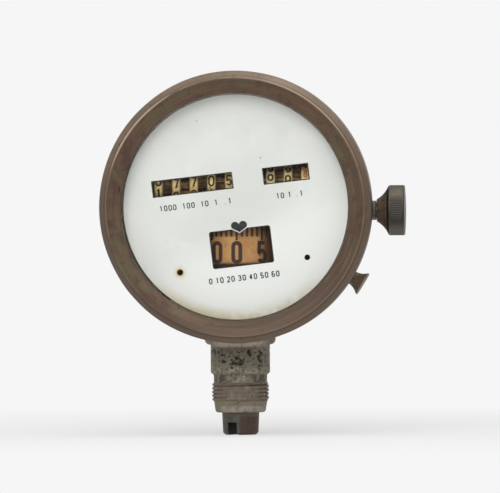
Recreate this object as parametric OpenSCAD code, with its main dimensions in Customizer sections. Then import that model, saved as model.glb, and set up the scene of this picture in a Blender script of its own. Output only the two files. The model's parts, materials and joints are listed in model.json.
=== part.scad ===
// Vintage drum speedometer with a season mileage register and a resettable trip register.
// Millimetres, +Z up. The dial faces -Y and the origin is the centre of the flat rear face.
// "Depth" is the distance forward of that rear face, so a depth d lies at y = -d.

/* [Case] */
// Room between the movement's farthest corner and the case's wall
case_gap = 2.8; // [2.4:0.1:9]
// Thickness of the case's side wall
case_wall = 2; // [1.2:0.1:2.5]
// Thickness of the case's back
back_t = 3.5; // [2.5:0.1:6]
// Rounding of the case's rear edge
back_round = 5; // [2:0.5:5]
// Distance of the tapped holes for a dash bracket from the case's outside
dash_hole_inset = 9; // [8:0.5:10]
// Tapping radius of the dash bracket's holes
dash_hole_r = 2.1; // [1.5:0.1:2.6]
// Distance of the movement screws from the case's outside
movement_screw_inset = 13; // [11:0.5:14]

/* [Bezel] */
// Overhang of the bezel outside the case
bezel_wall = 2.4; // [1.8:0.1:10]
// Reach of the bezel's lip inside the case's outside
bezel_lip_w = 4.9; // [4.5:0.1:7]
// Height of the bezel's ridge over the glass
bezel_ridge_h = 4; // [3:0.1:6]
// Height of the bezel's inner lip over the glass
bezel_lip_h = 1.9; // [1.2:0.1:2.6]
// Radial width of the rounded band outside the ridge
bezel_band_w = 2.4; // [1.8:0.1:3]
// Length of the bezel's screwed lap over the case
bezel_lap = 3; // [2:0.1:3.4]
// Hollow of the cove between the ridge and the lip
cove_sag = 0.9; // [0.4:0.1:1.2]

/* [Glass and dial] */
// Thickness of the glass
glass_t = 2; // [1.2:0.1:3]
// Thickness of the ring between glass and dial
dial_ring_t = 2.2; // [1:0.1:4]
// Thickness of the dial plate
dial_t = 0.8; // [0.5:0.1:1.2]
// Thickness of the bed that the dial lies on
dial_bed_t = 2; // [1.5:0.1:3]
// Turn of the slipped dial, anticlockwise from the front
dial_turn = 6.4; // [0:0.1:7]
// Slip of the loose dial to the right
dial_slip_right = 0.3; // [0:0.05:0.3]
// Slip of the loose dial upward
dial_slip_up = 0.25; // [0:0.05:0.3]
// Width of the dial ring that shows inside the bezel's lip
dial_ring_show = 0.6; // [0.2:0.1:1]
// Width of the season register's window
season_window_w = 27.2; // [24:0.1:28]
// Width of the trip register's window
trip_window_w = 15.5; // [13:0.1:16]
// Height of both register windows
register_window_h = 5.6; // [4:0.1:6.5]
// Width of the speed window
speed_window_w = 20.6; // [15:0.1:22]
// Height of the speed window
speed_window_h = 12.5; // [9:0.1:13]
// Corner radius of the speed window
speed_window_round = 0.8; // [0.3:0.1:2]
// Width of the pointed index over the speed window
index_w = 5.1; // [4:0.1:7]
// Drop of the index's point into the speed window
index_drop = 1.5; // [1:0.1:3]
// Half the distance between the dial's screw holes
dial_hole_x = 21.4; // [20.5:0.1:23]
// Depth of the dial's screw holes below the centre
dial_hole_drop = 19.7; // [18:0.1:22]
// Diameter of the dial's screw holes
dial_hole_d = 1.9; // [1.5:0.1:2.4]

/* [Speed drum and drive] */
// Outer radius of the speed drum
drum_r = 18; // [17:0.1:18.6]
// Height of the speed drum
drum_h = 14.5; // [13:0.1:15]
// Drop of the drum's top below the dial's centre
drum_drop = 6.5; // [6.2:0.1:7.5]
// Wall of the speed drum
drum_wall = 0.6; // [0.4:0.1:0.9]
// Air gap between magnet and drum
magnet_gap = 0.9; // [0.6:0.1:1.5]
// Height of the magnet
magnet_h = 9; // [7:0.1:9.5]
// Radius of the magnet's brass hub
magnet_hub_r = 9; // [6:0.1:11]
// Radius of the drive shaft
drive_shaft_r = 4; // [3.5:0.1:4.1]
// Radius of the drum's arbor
drum_arbor_r = 1; // [0.8:0.05:1.3]
// Turns of the hairspring
hairspring_turns = 4.5; // [3.5:1:5.5]
// Radial step of the hairspring per turn
hairspring_step = 0.9; // [0.8:0.05:1]

/* [Stem] */
// Diameter of the stem's flange
flange_d = 24; // [22:0.1:28]
// Thickness of the stem's flange
flange_t = 2.7; // [2:0.1:4]
// Drop of the flange's seat below the case's outside
flange_seat_drop = 1; // [0.5:0.1:2]
// Diameter of the stem's plain body
stem_d = 19.9; // [19.4:0.1:21.5]
// Length of the stem's plain body
stem_body_l = 9.3; // [7:0.1:12]
// Diameter of the relief beside the thread, and of the thread's root
thread_root_d = 17.8; // [17:0.05:18.4]
// Length of the relief above the thread
thread_relief_l = 3; // [2:0.1:5]
// Outside diameter of the stem's thread
thread_d = 19.05; // [18.7:0.05:19.3]
// Pitch of the stem's thread
thread_pitch = 1.27; // [1:0.01:1.6]
// Number of crests on the stem's thread
thread_crests = 5; // [4:1:7]
// Length of the plain end below the thread
stem_end_l = 3.5; // [3:0.1:6]
// Diameter of the stem's lower end
stem_end_d = 17.4; // [15:0.1:17.6]
// Radius of the bearing bushes in the stem
stem_bush_r = 6; // [5.4:0.1:6.2]
// Diameter of the slotted drive tip
tip_d = 12.5; // [11:0.1:13.5]
// Length of the drive tip
tip_l = 7.7; // [7:0.1:9]
// Width of the drive tip's slot
tip_slot_w = 3.4; // [2:0.1:4]
// Depth of the drive tip's slot
tip_slot_l = 4.2; // [2.5:0.1:4.3]
// Turn of the drive tip's slot from the front, toward the left
tip_slot_turn = 26; // [0:1:60]

/* [Registers] */
// Height of the register wheels' axis over the dial's centre
register_z = 8.5; // [8.3:0.1:9]
// Radius of the season wheels
season_r = 7; // [6.6:0.1:7.4]
// Distance between season wheels
season_pitch = 5.9; // [5.7:0.05:6]
// Centre of the middle season wheel, left of the dial's centre
season_mid_left = 14.1; // [14:0.05:14.4]
// Radius of the trip wheels
trip_r = 5.3; // [5:0.1:5.5]
// Distance between trip wheels
trip_pitch = 5.85; // [5.7:0.05:5.9]
// Centre of the middle trip wheel, right of the dial's centre
trip_mid_right = 17.35; // [17.2:0.05:17.5]
// Width of a wheel's numbered band
band_w = 3; // [2.6:0.05:3.1]
// Gap between one register wheel and the next
wheel_gap = 0.3; // [0.2:0.05:0.5]
// Radius of the register arbors
register_arbor_r = 1.25; // [1:0.05:1.5]
// Radius of the carry pinions' arbors
pinion_arbor_r = 0.75; // [0.6:0.05:0.9]

/* [Gear train] */
// Tooth module of the worm gears
worm_module = 1; // [0.95:0.01:1.02]
// Teeth of each worm wheel
worm_wheel_teeth = 10; // [10:1:10]
// Pitch radius of the worm on the drive shaft
drive_worm_r = 5.4; // [5.3:0.1:5.7]
// Pitch radius of the slower worms
worm_r = 3; // [2.9:0.1:3.2]
// Width of the worm wheels
worm_wheel_w = 2.4; // [2:0.1:2.6]
// Tooth module of the spur gears
spur_module = 0.5; // [0.45:0.01:0.51]
// Teeth of the gears between registers and carry shaft
carry_teeth = 24; // [24:2:26]
// Teeth of the reset gears
reset_teeth = 20; // [20:4:20]
// Radius of the train's arbors
train_arbor_r = 1.5; // [1.2:0.05:1.7]
// Drop of the cross arbor below the dial's centre
cross_drop = 28.5; // [28.2:0.1:29]

/* [Movement frame] */
// Thickness of the movement plate
plate_t = 2; // [1.6:0.1:3]
// Thickness of the brackets
bracket_t = 1.5; // [1.2:0.1:1.6]
// Thickness of the middle register bracket
middle_bracket_t = 2; // [1.6:0.1:2.2]
// Gap between the movement plate and the case's wall
plate_gap = 1.5; // [0.5:0.1:3]
// Radius of the frame screws
frame_screw_r = 1; // [0.8:0.05:1.2]
// Radius of the movement screws
movement_screw_r = 1.5; // [1.2:0.05:1.8]

/* [Knob and pull button] */
// Radius of the knob's ridged neck
knob_neck_r = 3.3; // [2.8:0.1:3.6]
// Reach of the knob's neck outside the bezel
knob_neck_l = 1.1; // [0.8:0.1:2.6]
// Length of the knob's hollow flare
knob_flare_l = 3.9; // [3:0.1:5]
// Radius of the knob's rim
knob_r = 8.4; // [7:0.1:9.5]
// Radius of the flare's small end
knob_flare_r = 3.8; // [3.6:0.1:5]
// Width of the knob's knurled rim
knob_rim_w = 5.2; // [3.6:0.1:6]
// Dome of the knob's outer face
knob_dome = 0.7; // [0.3:0.1:1.2]
// Ridges of the knob's knurl
knob_ridges = 44; // [36:4:60]
// Radius of the reset spindle
spindle_r = 1.5; // [1.2:0.05:1.7]
// Angle of the pull button below the horizontal
button_angle = 32; // [28:0.5:36]
// Radius of the button's lip
button_r = 3.9; // [3.2:0.1:4.6]
// Radius of the button's waist
button_waist_r = 1.9; // [1.7:0.05:2.4]
// Length of the button's trumpet
button_l = 4.4; // [3.5:0.1:6]
// Radius of the button's rod
button_rod_r = 1.2; // [0.9:0.05:1.4]
// Travel of the pull button
button_travel = 3; // [2:0.1:3.5]

/* [Fits] */
// Radial clearance of every shaft that turns or slides in a hole
running_clearance = 0.05; // [0.02:0.01:0.09]
// Radial clearance of pieces that are seated in each other
seat_clearance = 0.02; // [0.01:0.01:0.04]
// End play between pieces that turn past each other
end_play = 0.3; // [0.2:0.05:0.4]

/* [Hidden] */
$fn = 64;

// Depths of the drum, dial, glass and bezel, each in front of the one before
drum_back_gap = 1.5;
drum_front_gap = 1.2;
plate_front = back_t + plate_t;
axis_depth = plate_front + drum_back_gap + drum_r;
dial_back = axis_depth + drum_r + drum_front_gap;
case_depth = dial_back - dial_bed_t;
dial_front = dial_back + dial_t;
glass_back = dial_front + dial_ring_t;
glass_front = glass_back + glass_t;
skirt_end = case_depth - bezel_lap;

// Gear sizes
wheel_r = worm_module * worm_wheel_teeth / 2;
worm_addendum = 0.8 * worm_module;
worm_dedendum = 1.15 * worm_module;
worm_lead = PI * worm_module;
worm_l = 8.2;
spur_addendum = 0.9;
spur_dedendum = 1.25;
carry_r = spur_module * carry_teeth / 2;
reset_r = spur_module * reset_teeth / 2;
boss_teeth = 20;
pinion_teeth = 8;
season_boss_module = (season_r - 1) * 2 / boss_teeth;
trip_boss_module = (trip_r - 0.5) * 2 / boss_teeth;
season_pinion_offset = season_boss_module * (boss_teeth + pinion_teeth) / 2;
trip_pinion_offset = trip_boss_module * (boss_teeth + pinion_teeth) / 2;

// Shaft places: the train's arbors share one depth and the side shaft stands behind them
train_depth = axis_depth + drive_worm_r + wheel_r;
side_depth = train_depth - worm_r - wheel_r;
side_x = drum_r + train_arbor_r + 1;
carry_z = register_z + 2 * carry_r;
spindle_z = register_z - 2 * reset_r;
cross_z = -cross_drop;

// Register wheels from left to right
season_count = 5;
trip_count = 3;
function season_x(i) = -season_mid_left + (i - 2) * season_pitch;
function trip_x(i) = trip_mid_right + (i - 1) * trip_pitch;
season_boss_w = season_pitch - band_w - wheel_gap;
trip_boss_w = trip_pitch - band_w - wheel_gap;
season_left = season_x(0) - band_w / 2;
season_right = season_x(4) + band_w / 2 + season_boss_w;
trip_left = trip_x(0) - band_w / 2;
trip_right = trip_x(2) + band_w / 2 + trip_boss_w;

// Register brackets, arbors' ends and gears along the register axis
left_bracket_x = season_left - 1 - bracket_t;
middle_bracket_x = (season_right + trip_left) / 2 - middle_bracket_t / 2;
right_bracket_x = trip_right + 2;
reset_gear_x = right_bracket_x + bracket_t + 1;
reset_gear_w = 2;
register_bracket_front = train_depth + 3.6;
foot_w = 8;
foot_h = 8;
right_foot_x = right_bracket_x + bracket_t;
right_foot_w = 6;
right_foot_z = register_z - 2;
arbor_collar_r = register_arbor_r + 0.9;

// Round the movement: the case clears its farthest corner, and the bezel, glass and dial follow the case
movement_reach = norm([right_foot_x + right_foot_w, right_foot_z + foot_h / 2]);
case_r = round(10 * (movement_reach + case_gap + case_wall)) / 10;
plate_r = case_r - case_wall - plate_gap;
dash_hole_circle_r = case_r - dash_hole_inset;
movement_screw_circle_r = case_r - movement_screw_inset;
bezel_r = case_r + bezel_wall;
bezel_lip_r = case_r - bezel_lip_w;
bezel_bore_r = case_r + running_clearance;
ridge_r = bezel_r - bezel_band_w;
stack_r = case_r - 0.4;
stack_inner_r = bezel_lip_r - dial_ring_show;

// Speed drum, magnet and hairspring heights
drum_top = -drum_drop;
drum_bottom = drum_top - drum_h;
magnet_top = drum_top - drum_wall - 3.4;
magnet_bottom = magnet_top - magnet_h;
magnet_r = drum_r - drum_wall - magnet_gap;
shaft_head_r = drive_shaft_r - 1;
jewel_r = 1.8;
jewel_t = 1.4;
pivot_r = 0.4;
bridge_t = 2;
bridge_bottom = drum_top + 3.5;
bridge_top = bridge_bottom + bridge_t;
collet_r = drum_arbor_r + 1;
hairspring_h = 1;
hairspring_t = 0.25;
hairspring_z = drum_top + 1.4;
hairspring_inner = collet_r + 0.35;
hairspring_outer = hairspring_inner + hairspring_turns * hairspring_step;
stud_r = 0.7;
stud_gap = 0.1;

// Stem heights
flange_top = -case_r - flange_seat_drop;
flange_bottom = flange_top - flange_t;
body_bottom = flange_bottom - stem_body_l;
thread_top = body_bottom - thread_relief_l;
thread_l = thread_pitch * thread_crests;
thread_bottom = thread_top - thread_l;
stem_bottom = thread_bottom - stem_end_l;
tip_top = stem_bottom - end_play;
tip_bottom = stem_bottom - tip_l;
spigot_r = stem_bush_r + 1.4;
nut_seat = -(case_r - case_wall) + 2.2;
nut_h = 3;
nut_r = 10;
spigot_top = nut_seat + nut_h + 0.4;
bush_l = 6.5;
bush_lip_t = 1;
bush_lip_r = stem_bush_r + 0.6;
tip_shank_r = shaft_head_r;
tip_shank_l = 3;
drive_worm_l = 9;
drive_worm_bottom = cross_z - drive_worm_l / 2;
worm_collar_bottom = spigot_top + bush_lip_t + end_play;

// Movement frame: foot of each bracket on the movement plate, as [x, z] of its screws
foot_t = bracket_t;
screw_edge = 2.2;
left_foot_z = register_z;
middle_foot_z = register_z + 3;
side_bracket_x = side_x - 3.5;
side_bracket_w = 7;
side_shelf_low = drum_bottom - 1.8 - bracket_t;
side_shelf_high = carry_z + worm_l / 2 + 0.6;
side_shelf_front = side_depth + 2.6;
side_screw_rise = 9;
side_screw_drop = 4;
lower_cheek_x = drive_worm_r + worm_addendum + 1.2;
lower_cheek_h = 8;
bridge_w = 10;
bridge_front = axis_depth + 6;
bridge_foot_x = -10;
bridge_foot_w = 8;
bridge_foot_h = 9;

left_foot_x = left_bracket_x + bracket_t;
middle_foot_x = middle_bracket_x + middle_bracket_t;

function foot_screws(x, z, w) = [[x + screw_edge, z], [x + w - screw_edge, z]];
frame_screws_at = concat(
    foot_screws(left_foot_x, left_foot_z, foot_w),
    foot_screws(middle_foot_x, middle_foot_z, foot_w),
    foot_screws(right_foot_x, right_foot_z, right_foot_w),
    foot_screws(bridge_foot_x, bridge_top + bridge_foot_h / 2, bridge_foot_w),
    foot_screws(-lower_cheek_x, cross_z, 2 * lower_cheek_x),
    [[side_x, drum_bottom + side_screw_rise], [side_x, side_shelf_high - side_screw_drop]]
);
movement_screw_turns = [30, 150, 270];
dash_hole_turns = [90, 210, 330];
dash_relief = 0.5;

// Knob and button places
neck_start = case_r - 4.5;
neck_end = bezel_r + knob_neck_l;
knob_start = neck_end + 0.2;
rim_start = knob_start + knob_flare_l;
rim_end = rim_start + knob_rim_w;
spindle_inner = right_bracket_x;
knob_socket_end = rim_end - 1.5;
button_bush_r = button_rod_r + 1.1;
button_bush_in = case_r - case_wall - 1.6;
button_bush_out = case_r + 1.6;
button_start = button_bush_out + 0.2;
button_collar_r = button_rod_r + 0.9;
button_spring_l = button_travel + 3;
button_collar_t = 1.2;
spring_seat_gap = 0.15;
button_rod_in = button_bush_in - button_spring_l - button_collar_t;

// Places the children with local +Z forward from the rear face and local +Y up
module face_on(depth) {
    rotate([90, 0, 0])
        translate([0, 0, depth])
            children();
}

// Places the children with local +Z along +X, starting at x on the axis at a depth and height
module along_x(x, depth, z) {
    translate([x, -depth, z])
        rotate([0, 90, 0])
            children();
}

// Places the children with local +Z out along the pull button's axis
module along_button() {
    translate([0, -train_depth, 0])
        rotate([0, 90 + button_angle, 0])
            children();
}

module rod(r, l) {
    cylinder(r = r, h = l);
}

module tube(r, bore, l) {
    linear_extrude(l)
        difference() {
            circle(r);
            circle(bore);
        }
}

// Outline of a spur gear: straight flanks, thinned by the play at the pitch circle
function gear_outline(teeth, mod, add, ded, play) =
    let (pitch_r = mod * teeth / 2,
         half = (PI * mod / 4 - play / 2),
         tip_half = half - add * mod * tan(20),
         root_turn = half / pitch_r * 180 / PI,
         tip_turn = tip_half / (pitch_r + add * mod) * 180 / PI)
    [for (i = [0 : teeth - 1], p = [
        [pitch_r - ded * mod, -root_turn],
        [pitch_r, -root_turn],
        [pitch_r + add * mod, -tip_turn],
        [pitch_r + add * mod, tip_turn],
        [pitch_r, root_turn],
        [pitch_r - ded * mod, root_turn]])
        let (turn = 360 * i / teeth + p[1])
        [p[0] * cos(turn), p[0] * sin(turn)]];

module spur_gear(teeth, mod, w, bore, play) {
    linear_extrude(w)
        difference() {
            polygon(gear_outline(teeth, mod, spur_addendum, spur_dedendum, play));
            circle(bore);
        }
}

worm_wheel_play = 0.46;
worm_play = 0.3;
spur_play = 0.22;
pinion_play = 0.26;

// A worm wheel, centred on its own width
module worm_wheel(bore) {
    translate([0, 0, -worm_wheel_w / 2])
        linear_extrude(worm_wheel_w)
            difference() {
                polygon(gear_outline(worm_wheel_teeth, worm_module, 0.8, 1.15, worm_wheel_play));
                circle(bore);
            }
}

// Radius of a worm's cross-section at an angle from the middle of its crest
function worm_section_r(turn, pitch_r) =
    let (away = abs(turn > 180 ? turn - 360 : turn) / 360 * worm_lead,
         crest = worm_lead / 4 - worm_play / 2 - worm_addendum * tan(20),
         slope = (away - crest) / tan(20),
         fall = min(max(slope, 0), worm_addendum + worm_dedendum))
    pitch_r + worm_addendum - fall;

worm_section_points = 20;
worm_slices_per_turn = 15;

// A right-hand worm along +Z, centred, with a crest facing the given direction at its middle
module worm(pitch_r, l, facing) {
    turns = l / worm_lead;
    slices = round(turns * worm_slices_per_turn);
    translate([0, 0, -l / 2])
        rotate(facing - 180 * turns)
            linear_extrude(l, twist = -360 * turns, slices = slices, $fn = worm_section_points)
                polygon([for (i = [0 : worm_section_points - 1])
                    let (turn = 360 * i / worm_section_points, r = worm_section_r(turn, pitch_r))
                    [r * cos(turn), r * sin(turn)]]);
}

// Countersunk slotted screw along +Z, head first from z = 0
module countersunk_screw(r, l) {
    head_r = 2 * r;
    difference() {
        rotate_extrude()
            polygon([[0, 0], [head_r, 0], [r, r], [r, l], [0, l]]);
        translate([-head_r, -r / 4, -1])
            cube([2 * head_r, r / 2, 1 + r / 2]);
    }
}

// The hole that such a screw seats in
module countersunk_hole(r, l) {
    hole_r = r + seat_clearance;
    rotate_extrude()
        polygon([[0, -1], [2 * r + seat_clearance, -1], [2 * r + seat_clearance, 0],
                 [hole_r, r], [hole_r, l], [0, l]]);
}

module on_circle(circle_r, turns) {
    for (turn = turns)
        translate([circle_r * cos(turn), circle_r * sin(turn), 0])
            children();
}

// Case and front

module case_cup() {
    inner_r = case_r - case_wall;
    rotate_extrude()
        difference() {
            union() {
                translate([0, back_round])
                    square([case_r, case_depth - back_round]);
                square([case_r - back_round, back_round]);
                translate([case_r - back_round, back_round])
                    circle(back_round);
            }
            translate([0, back_t])
                square([inner_r, case_depth]);
            translate([-case_r, -case_r])
                square([case_r, 3 * case_r]);
        }
}

module case() {
    color("saddlebrown")
        difference() {
            union() {
                face_on(0)
                    case_cup();
                translate([0, -axis_depth, flange_top])
                    rod(flange_d / 2, nut_seat - flange_top);
            }
            translate([0, -axis_depth, flange_top - 1])
                rod(spigot_r + seat_clearance, nut_seat - flange_top + 2);
            along_x(neck_start - 1, train_depth, spindle_z)
                rod(knob_neck_r + seat_clearance, case_r);
            along_button()
                translate([0, 0, button_bush_in - 1])
                    rod(button_bush_r + seat_clearance, case_r);
            face_on(0) {
                on_circle(movement_screw_circle_r, movement_screw_turns)
                    countersunk_hole(movement_screw_r, back_t + 1);
                on_circle(dash_hole_circle_r, dash_hole_turns)
                    translate([0, 0, -1])
                        rod(dash_hole_r, back_t + 2);
            }
        }
}

// The arc centre of a hollow with the given sag between two outline points
function hollow_r(a, b, sag) = norm(b - a) * norm(b - a) / (8 * sag) + sag / 2;
function hollow_centre(a, b, sag) =
    let (along = (b - a) / norm(b - a), out = [along[1], -along[0]])
    (a + b) / 2 + out * (hollow_r(a, b, sag) - sag);

module bezel() {
    ridge = [ridge_r, glass_front + bezel_ridge_h];
    lip = [bezel_lip_r + 0.5, glass_front + bezel_lip_h];
    ridge_bead_r = 0.6;
    lip_bead_r = 0.3;
    edge = 0.5;
    color("sienna")
        face_on(0)
            rotate_extrude()
                union() {
                    difference() {
                        polygon([[bezel_bore_r, skirt_end], [bezel_r - edge, skirt_end],
                                 [bezel_r, skirt_end + edge], [bezel_r, ridge[1] - bezel_band_w],
                                 ridge, lip, [bezel_lip_r, lip[1]], [bezel_lip_r, glass_front],
                                 [bezel_bore_r, glass_front]]);
                        translate(hollow_centre(ridge, lip, cove_sag))
                            circle(hollow_r(ridge, lip, cove_sag));
                    }
                    translate(ridge - [0, ridge_bead_r])
                        circle(ridge_bead_r);
                    translate([bezel_lip_r + lip_bead_r, lip[1]])
                        circle(lip_bead_r);
                }
}

module glass() {
    color("aliceblue", 0.4)
        face_on(glass_back)
            rod(stack_r, glass_t);
}

module dial_ring() {
    color("dimgray")
        face_on(dial_front)
            tube(stack_r, stack_inner_r, dial_ring_t);
}

// A window outline with round corners, centred
module window(w, h, round) {
    square([w - 2 * round, h], center = true);
    square([w, h - 2 * round], center = true);
    for (sx = [-1, 1], sy = [-1, 1])
        translate([sx * (w / 2 - round), sy * (h / 2 - round)])
            circle(round);
}

register_window_right = 0.25;
register_window_up = 0.3;
season_window_x = season_x(2) + register_window_right;
trip_window_x = trip_x(1) + register_window_right;
register_window_z = register_z + register_window_up;
speed_window_z = drum_top - drum_h / 2;

module dial() {
    window_top = speed_window_z + speed_window_h / 2;
    color("whitesmoke")
        face_on(dial_back)
            translate([dial_slip_right, dial_slip_up])
                rotate(dial_turn)
                    linear_extrude(dial_t)
                        difference() {
                            circle(stack_r);
                            translate([season_window_x, register_window_z])
                                square([season_window_w, register_window_h], center = true);
                            translate([trip_window_x, register_window_z])
                                square([trip_window_w, register_window_h], center = true);
                            difference() {
                                translate([0, speed_window_z])
                                    window(speed_window_w, speed_window_h, speed_window_round);
                                polygon([[-index_w / 2, window_top], [0, window_top - index_drop],
                                         [index_w / 2, window_top]]);
                            }
                            for (side = [-1, 1])
                                translate([side * dial_hole_x, -dial_hole_drop])
                                    circle(d = dial_hole_d);
                        }
}

module dial_bed() {
    ear_r = 3;
    bed_inner_r = stack_inner_r - 1;
    hole_from_centre = norm([dial_hole_x, dial_hole_drop]);
    ear_turn = atan2(dial_hole_drop, dial_hole_x);
    color("burlywood")
        face_on(case_depth)
            linear_extrude(dial_bed_t)
                difference() {
                    union() {
                        difference() {
                            circle(case_r);
                            circle(bed_inner_r);
                        }
                        for (turn = [-ear_turn, 180 + ear_turn])
                            rotate(turn)
                                translate([hole_from_centre, 0]) {
                                    circle(ear_r);
                                    translate([0, -ear_r])
                                        square([bed_inner_r + 1 - hole_from_centre, 2 * ear_r]);
                                }
                    }
                    for (side = [-1, 1])
                        translate([side * dial_hole_x, -dial_hole_drop])
                            circle(d = dial_hole_d - 0.4);
                }
}

// Movement frame

module movement_plate() {
    color("darkkhaki")
        difference() {
            face_on(back_t)
                rod(plate_r, plate_t);
            face_on(back_t) {
                for (at = frame_screws_at)
                    translate(at)
                        countersunk_hole(frame_screw_r, plate_t + 1);
                on_circle(movement_screw_circle_r, movement_screw_turns)
                    translate([0, 0, -1])
                        rod(movement_screw_r + seat_clearance, plate_t + 2);
                on_circle(dash_hole_circle_r, dash_hole_turns)
                    translate([0, 0, -1])
                        rod(dash_hole_r + dash_relief, plate_t + 2);
            }
        }
}

module movement_screws() {
    color("gray")
        face_on(0)
            on_circle(movement_screw_circle_r, movement_screw_turns)
                countersunk_screw(movement_screw_r, plate_front);
}

module frame_screws() {
    color("silver")
        face_on(back_t)
            for (at = frame_screws_at)
                translate(at)
                    countersunk_screw(frame_screw_r, plate_t + foot_t);
}

// Clears the frame screws out of a foot
module frame_screw_holes() {
    face_on(plate_front)
        for (at = frame_screws_at)
            translate([at[0], at[1], -1])
                rod(frame_screw_r + seat_clearance, foot_t + 2);
}

// A block on the movement plate from depth plate_front to the given depth
module plate_block(x, w, z, h, front) {
    translate([x, -front, z])
        cube([w, front - plate_front, h]);
}

// A hole through a bracket along X
module cross_hole(x, w, depth, z, r) {
    along_x(x - 1, depth, z)
        rod(r, w + 2);
}

module left_bracket() {
    bottom = left_foot_z - foot_h / 2;
    color("goldenrod")
        difference() {
            union() {
                plate_block(left_bracket_x, bracket_t, bottom, foot_h, register_bracket_front);
                plate_block(left_bracket_x, bracket_t + foot_w, bottom, foot_h, plate_front + foot_t);
            }
            cross_hole(left_bracket_x, bracket_t, train_depth, register_z, register_arbor_r + seat_clearance);
            cross_hole(left_bracket_x, bracket_t, train_depth - season_pinion_offset, register_z,
                       pinion_arbor_r + seat_clearance);
            frame_screw_holes();
        }
}

module middle_bracket() {
    x = middle_bracket_x;
    w = middle_bracket_t;
    bottom = register_z - trip_pinion_offset - 1.8;
    color("goldenrod")
        difference() {
            union() {
                plate_block(x, w, bottom, carry_z + 4 - bottom, register_bracket_front);
                plate_block(x, w + foot_w, middle_foot_z - foot_h / 2, foot_h, plate_front + foot_t);
            }
            cross_hole(x, w, train_depth, register_z, register_arbor_r + running_clearance);
            cross_hole(x, w, train_depth - season_pinion_offset, register_z, pinion_arbor_r + seat_clearance);
            cross_hole(x, w, train_depth, register_z - trip_pinion_offset, pinion_arbor_r + seat_clearance);
            cross_hole(x, w, train_depth, carry_z, train_arbor_r + running_clearance);
            frame_screw_holes();
        }
}

module right_bracket() {
    x = right_bracket_x;
    w = bracket_t;
    bottom = spindle_z - spindle_r - 2;
    color("goldenrod")
        difference() {
            union() {
                plate_block(x, w, bottom, carry_z + 4 - bottom, register_bracket_front);
                plate_block(x, w + right_foot_w, right_foot_z - foot_h / 2, foot_h, plate_front + foot_t);
            }
            cross_hole(x, w, train_depth, register_z, register_arbor_r + running_clearance);
            cross_hole(x, w, train_depth, carry_z, train_arbor_r + running_clearance);
            cross_hole(x, w, train_depth, spindle_z, spindle_r + running_clearance);
            frame_screw_holes();
        }
}

// The hairspring's stud hangs under the bridge, behind the drum's axis
stud_depth = axis_depth - hairspring_outer - hairspring_t / 2 - stud_r - stud_gap;

module drum_bridge() {
    color("goldenrod")
        difference() {
            union() {
                plate_block(-bridge_w / 2, bridge_w, bridge_bottom, bridge_t, bridge_front);
                plate_block(bridge_foot_x, bridge_foot_w, bridge_bottom, bridge_t + bridge_foot_h,
                            plate_front + foot_t);
                translate([0, -stud_depth, hairspring_z])
                    rod(stud_r, bridge_top - hairspring_z);
            }
            translate([0, -axis_depth, bridge_bottom - 1])
                rod(jewel_r + seat_clearance, bridge_t + 2);
            frame_screw_holes();
        }
}

module lower_bracket() {
    bottom = cross_z - lower_cheek_h / 2;
    color("goldenrod")
        difference() {
            union() {
                for (x = [-lower_cheek_x - bracket_t, lower_cheek_x])
                    plate_block(x, bracket_t, bottom, lower_cheek_h, register_bracket_front);
                plate_block(-lower_cheek_x - bracket_t / 2, 2 * lower_cheek_x + bracket_t, bottom,
                            lower_cheek_h, plate_front + foot_t);
            }
            cross_hole(-lower_cheek_x - bracket_t, 2 * (lower_cheek_x + bracket_t), train_depth, cross_z,
                       train_arbor_r + running_clearance);
            frame_screw_holes();
        }
}

module side_bracket() {
    color("goldenrod")
        difference() {
            union() {
                for (z = [side_shelf_low, side_shelf_high])
                    plate_block(side_bracket_x, side_bracket_w, z, bracket_t, side_shelf_front);
                plate_block(side_bracket_x, side_bracket_w, side_shelf_low,
                            side_shelf_high + bracket_t - side_shelf_low, plate_front + foot_t);
            }
            translate([side_x, -side_depth, side_shelf_low - 1])
                rod(train_arbor_r + running_clearance, side_shelf_high - side_shelf_low + bracket_t + 2);
            frame_screw_holes();
        }
}

// Stem and drive

module stem() {
    crest_flat = thread_pitch / 8;
    body_r = stem_d / 2;
    root_r = thread_root_d / 2;
    flange_r = flange_d / 2;
    flange_round = 1.4;
    end_round = 0.8;
    color("dimgray")
        translate([0, -axis_depth, 0])
            rotate_extrude()
                polygon(concat(
                    [[stem_bush_r, stem_bottom], [stem_end_d / 2 - end_round, stem_bottom],
                     [stem_end_d / 2, stem_bottom + end_round], [root_r, thread_bottom - 0.4],
                     [root_r, thread_bottom]],
                    [for (i = [0 : thread_crests - 1], p = [
                        [root_r, (1 - 0.75) / 2 * thread_pitch],
                        [thread_d / 2, thread_pitch / 2 - crest_flat],
                        [thread_d / 2, thread_pitch / 2 + crest_flat],
                        [root_r, (1 + 0.75) / 2 * thread_pitch]])
                        [p[0], thread_bottom + i * thread_pitch + p[1]]],
                    [[root_r, thread_top], [root_r, body_bottom],
                     [body_r, body_bottom], [body_r, flange_bottom],
                     [flange_r - flange_round, flange_bottom], [flange_r, flange_bottom + flange_round],
                     [flange_r, flange_top], [spigot_r, flange_top],
                     [spigot_r, spigot_top], [stem_bush_r, spigot_top]]));
}

module stem_nut() {
    color("darkgoldenrod")
        translate([0, -axis_depth, nut_seat])
            difference() {
                cylinder(r = nut_r, h = nut_h, $fn = 6);
                translate([0, 0, -1])
                    rod(spigot_r + seat_clearance, nut_h + 2);
            }
}

module lower_bush() {
    color("peru")
        translate([0, -axis_depth, stem_bottom])
            tube(stem_bush_r - seat_clearance, drive_shaft_r + running_clearance, bush_l);
}

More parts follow.
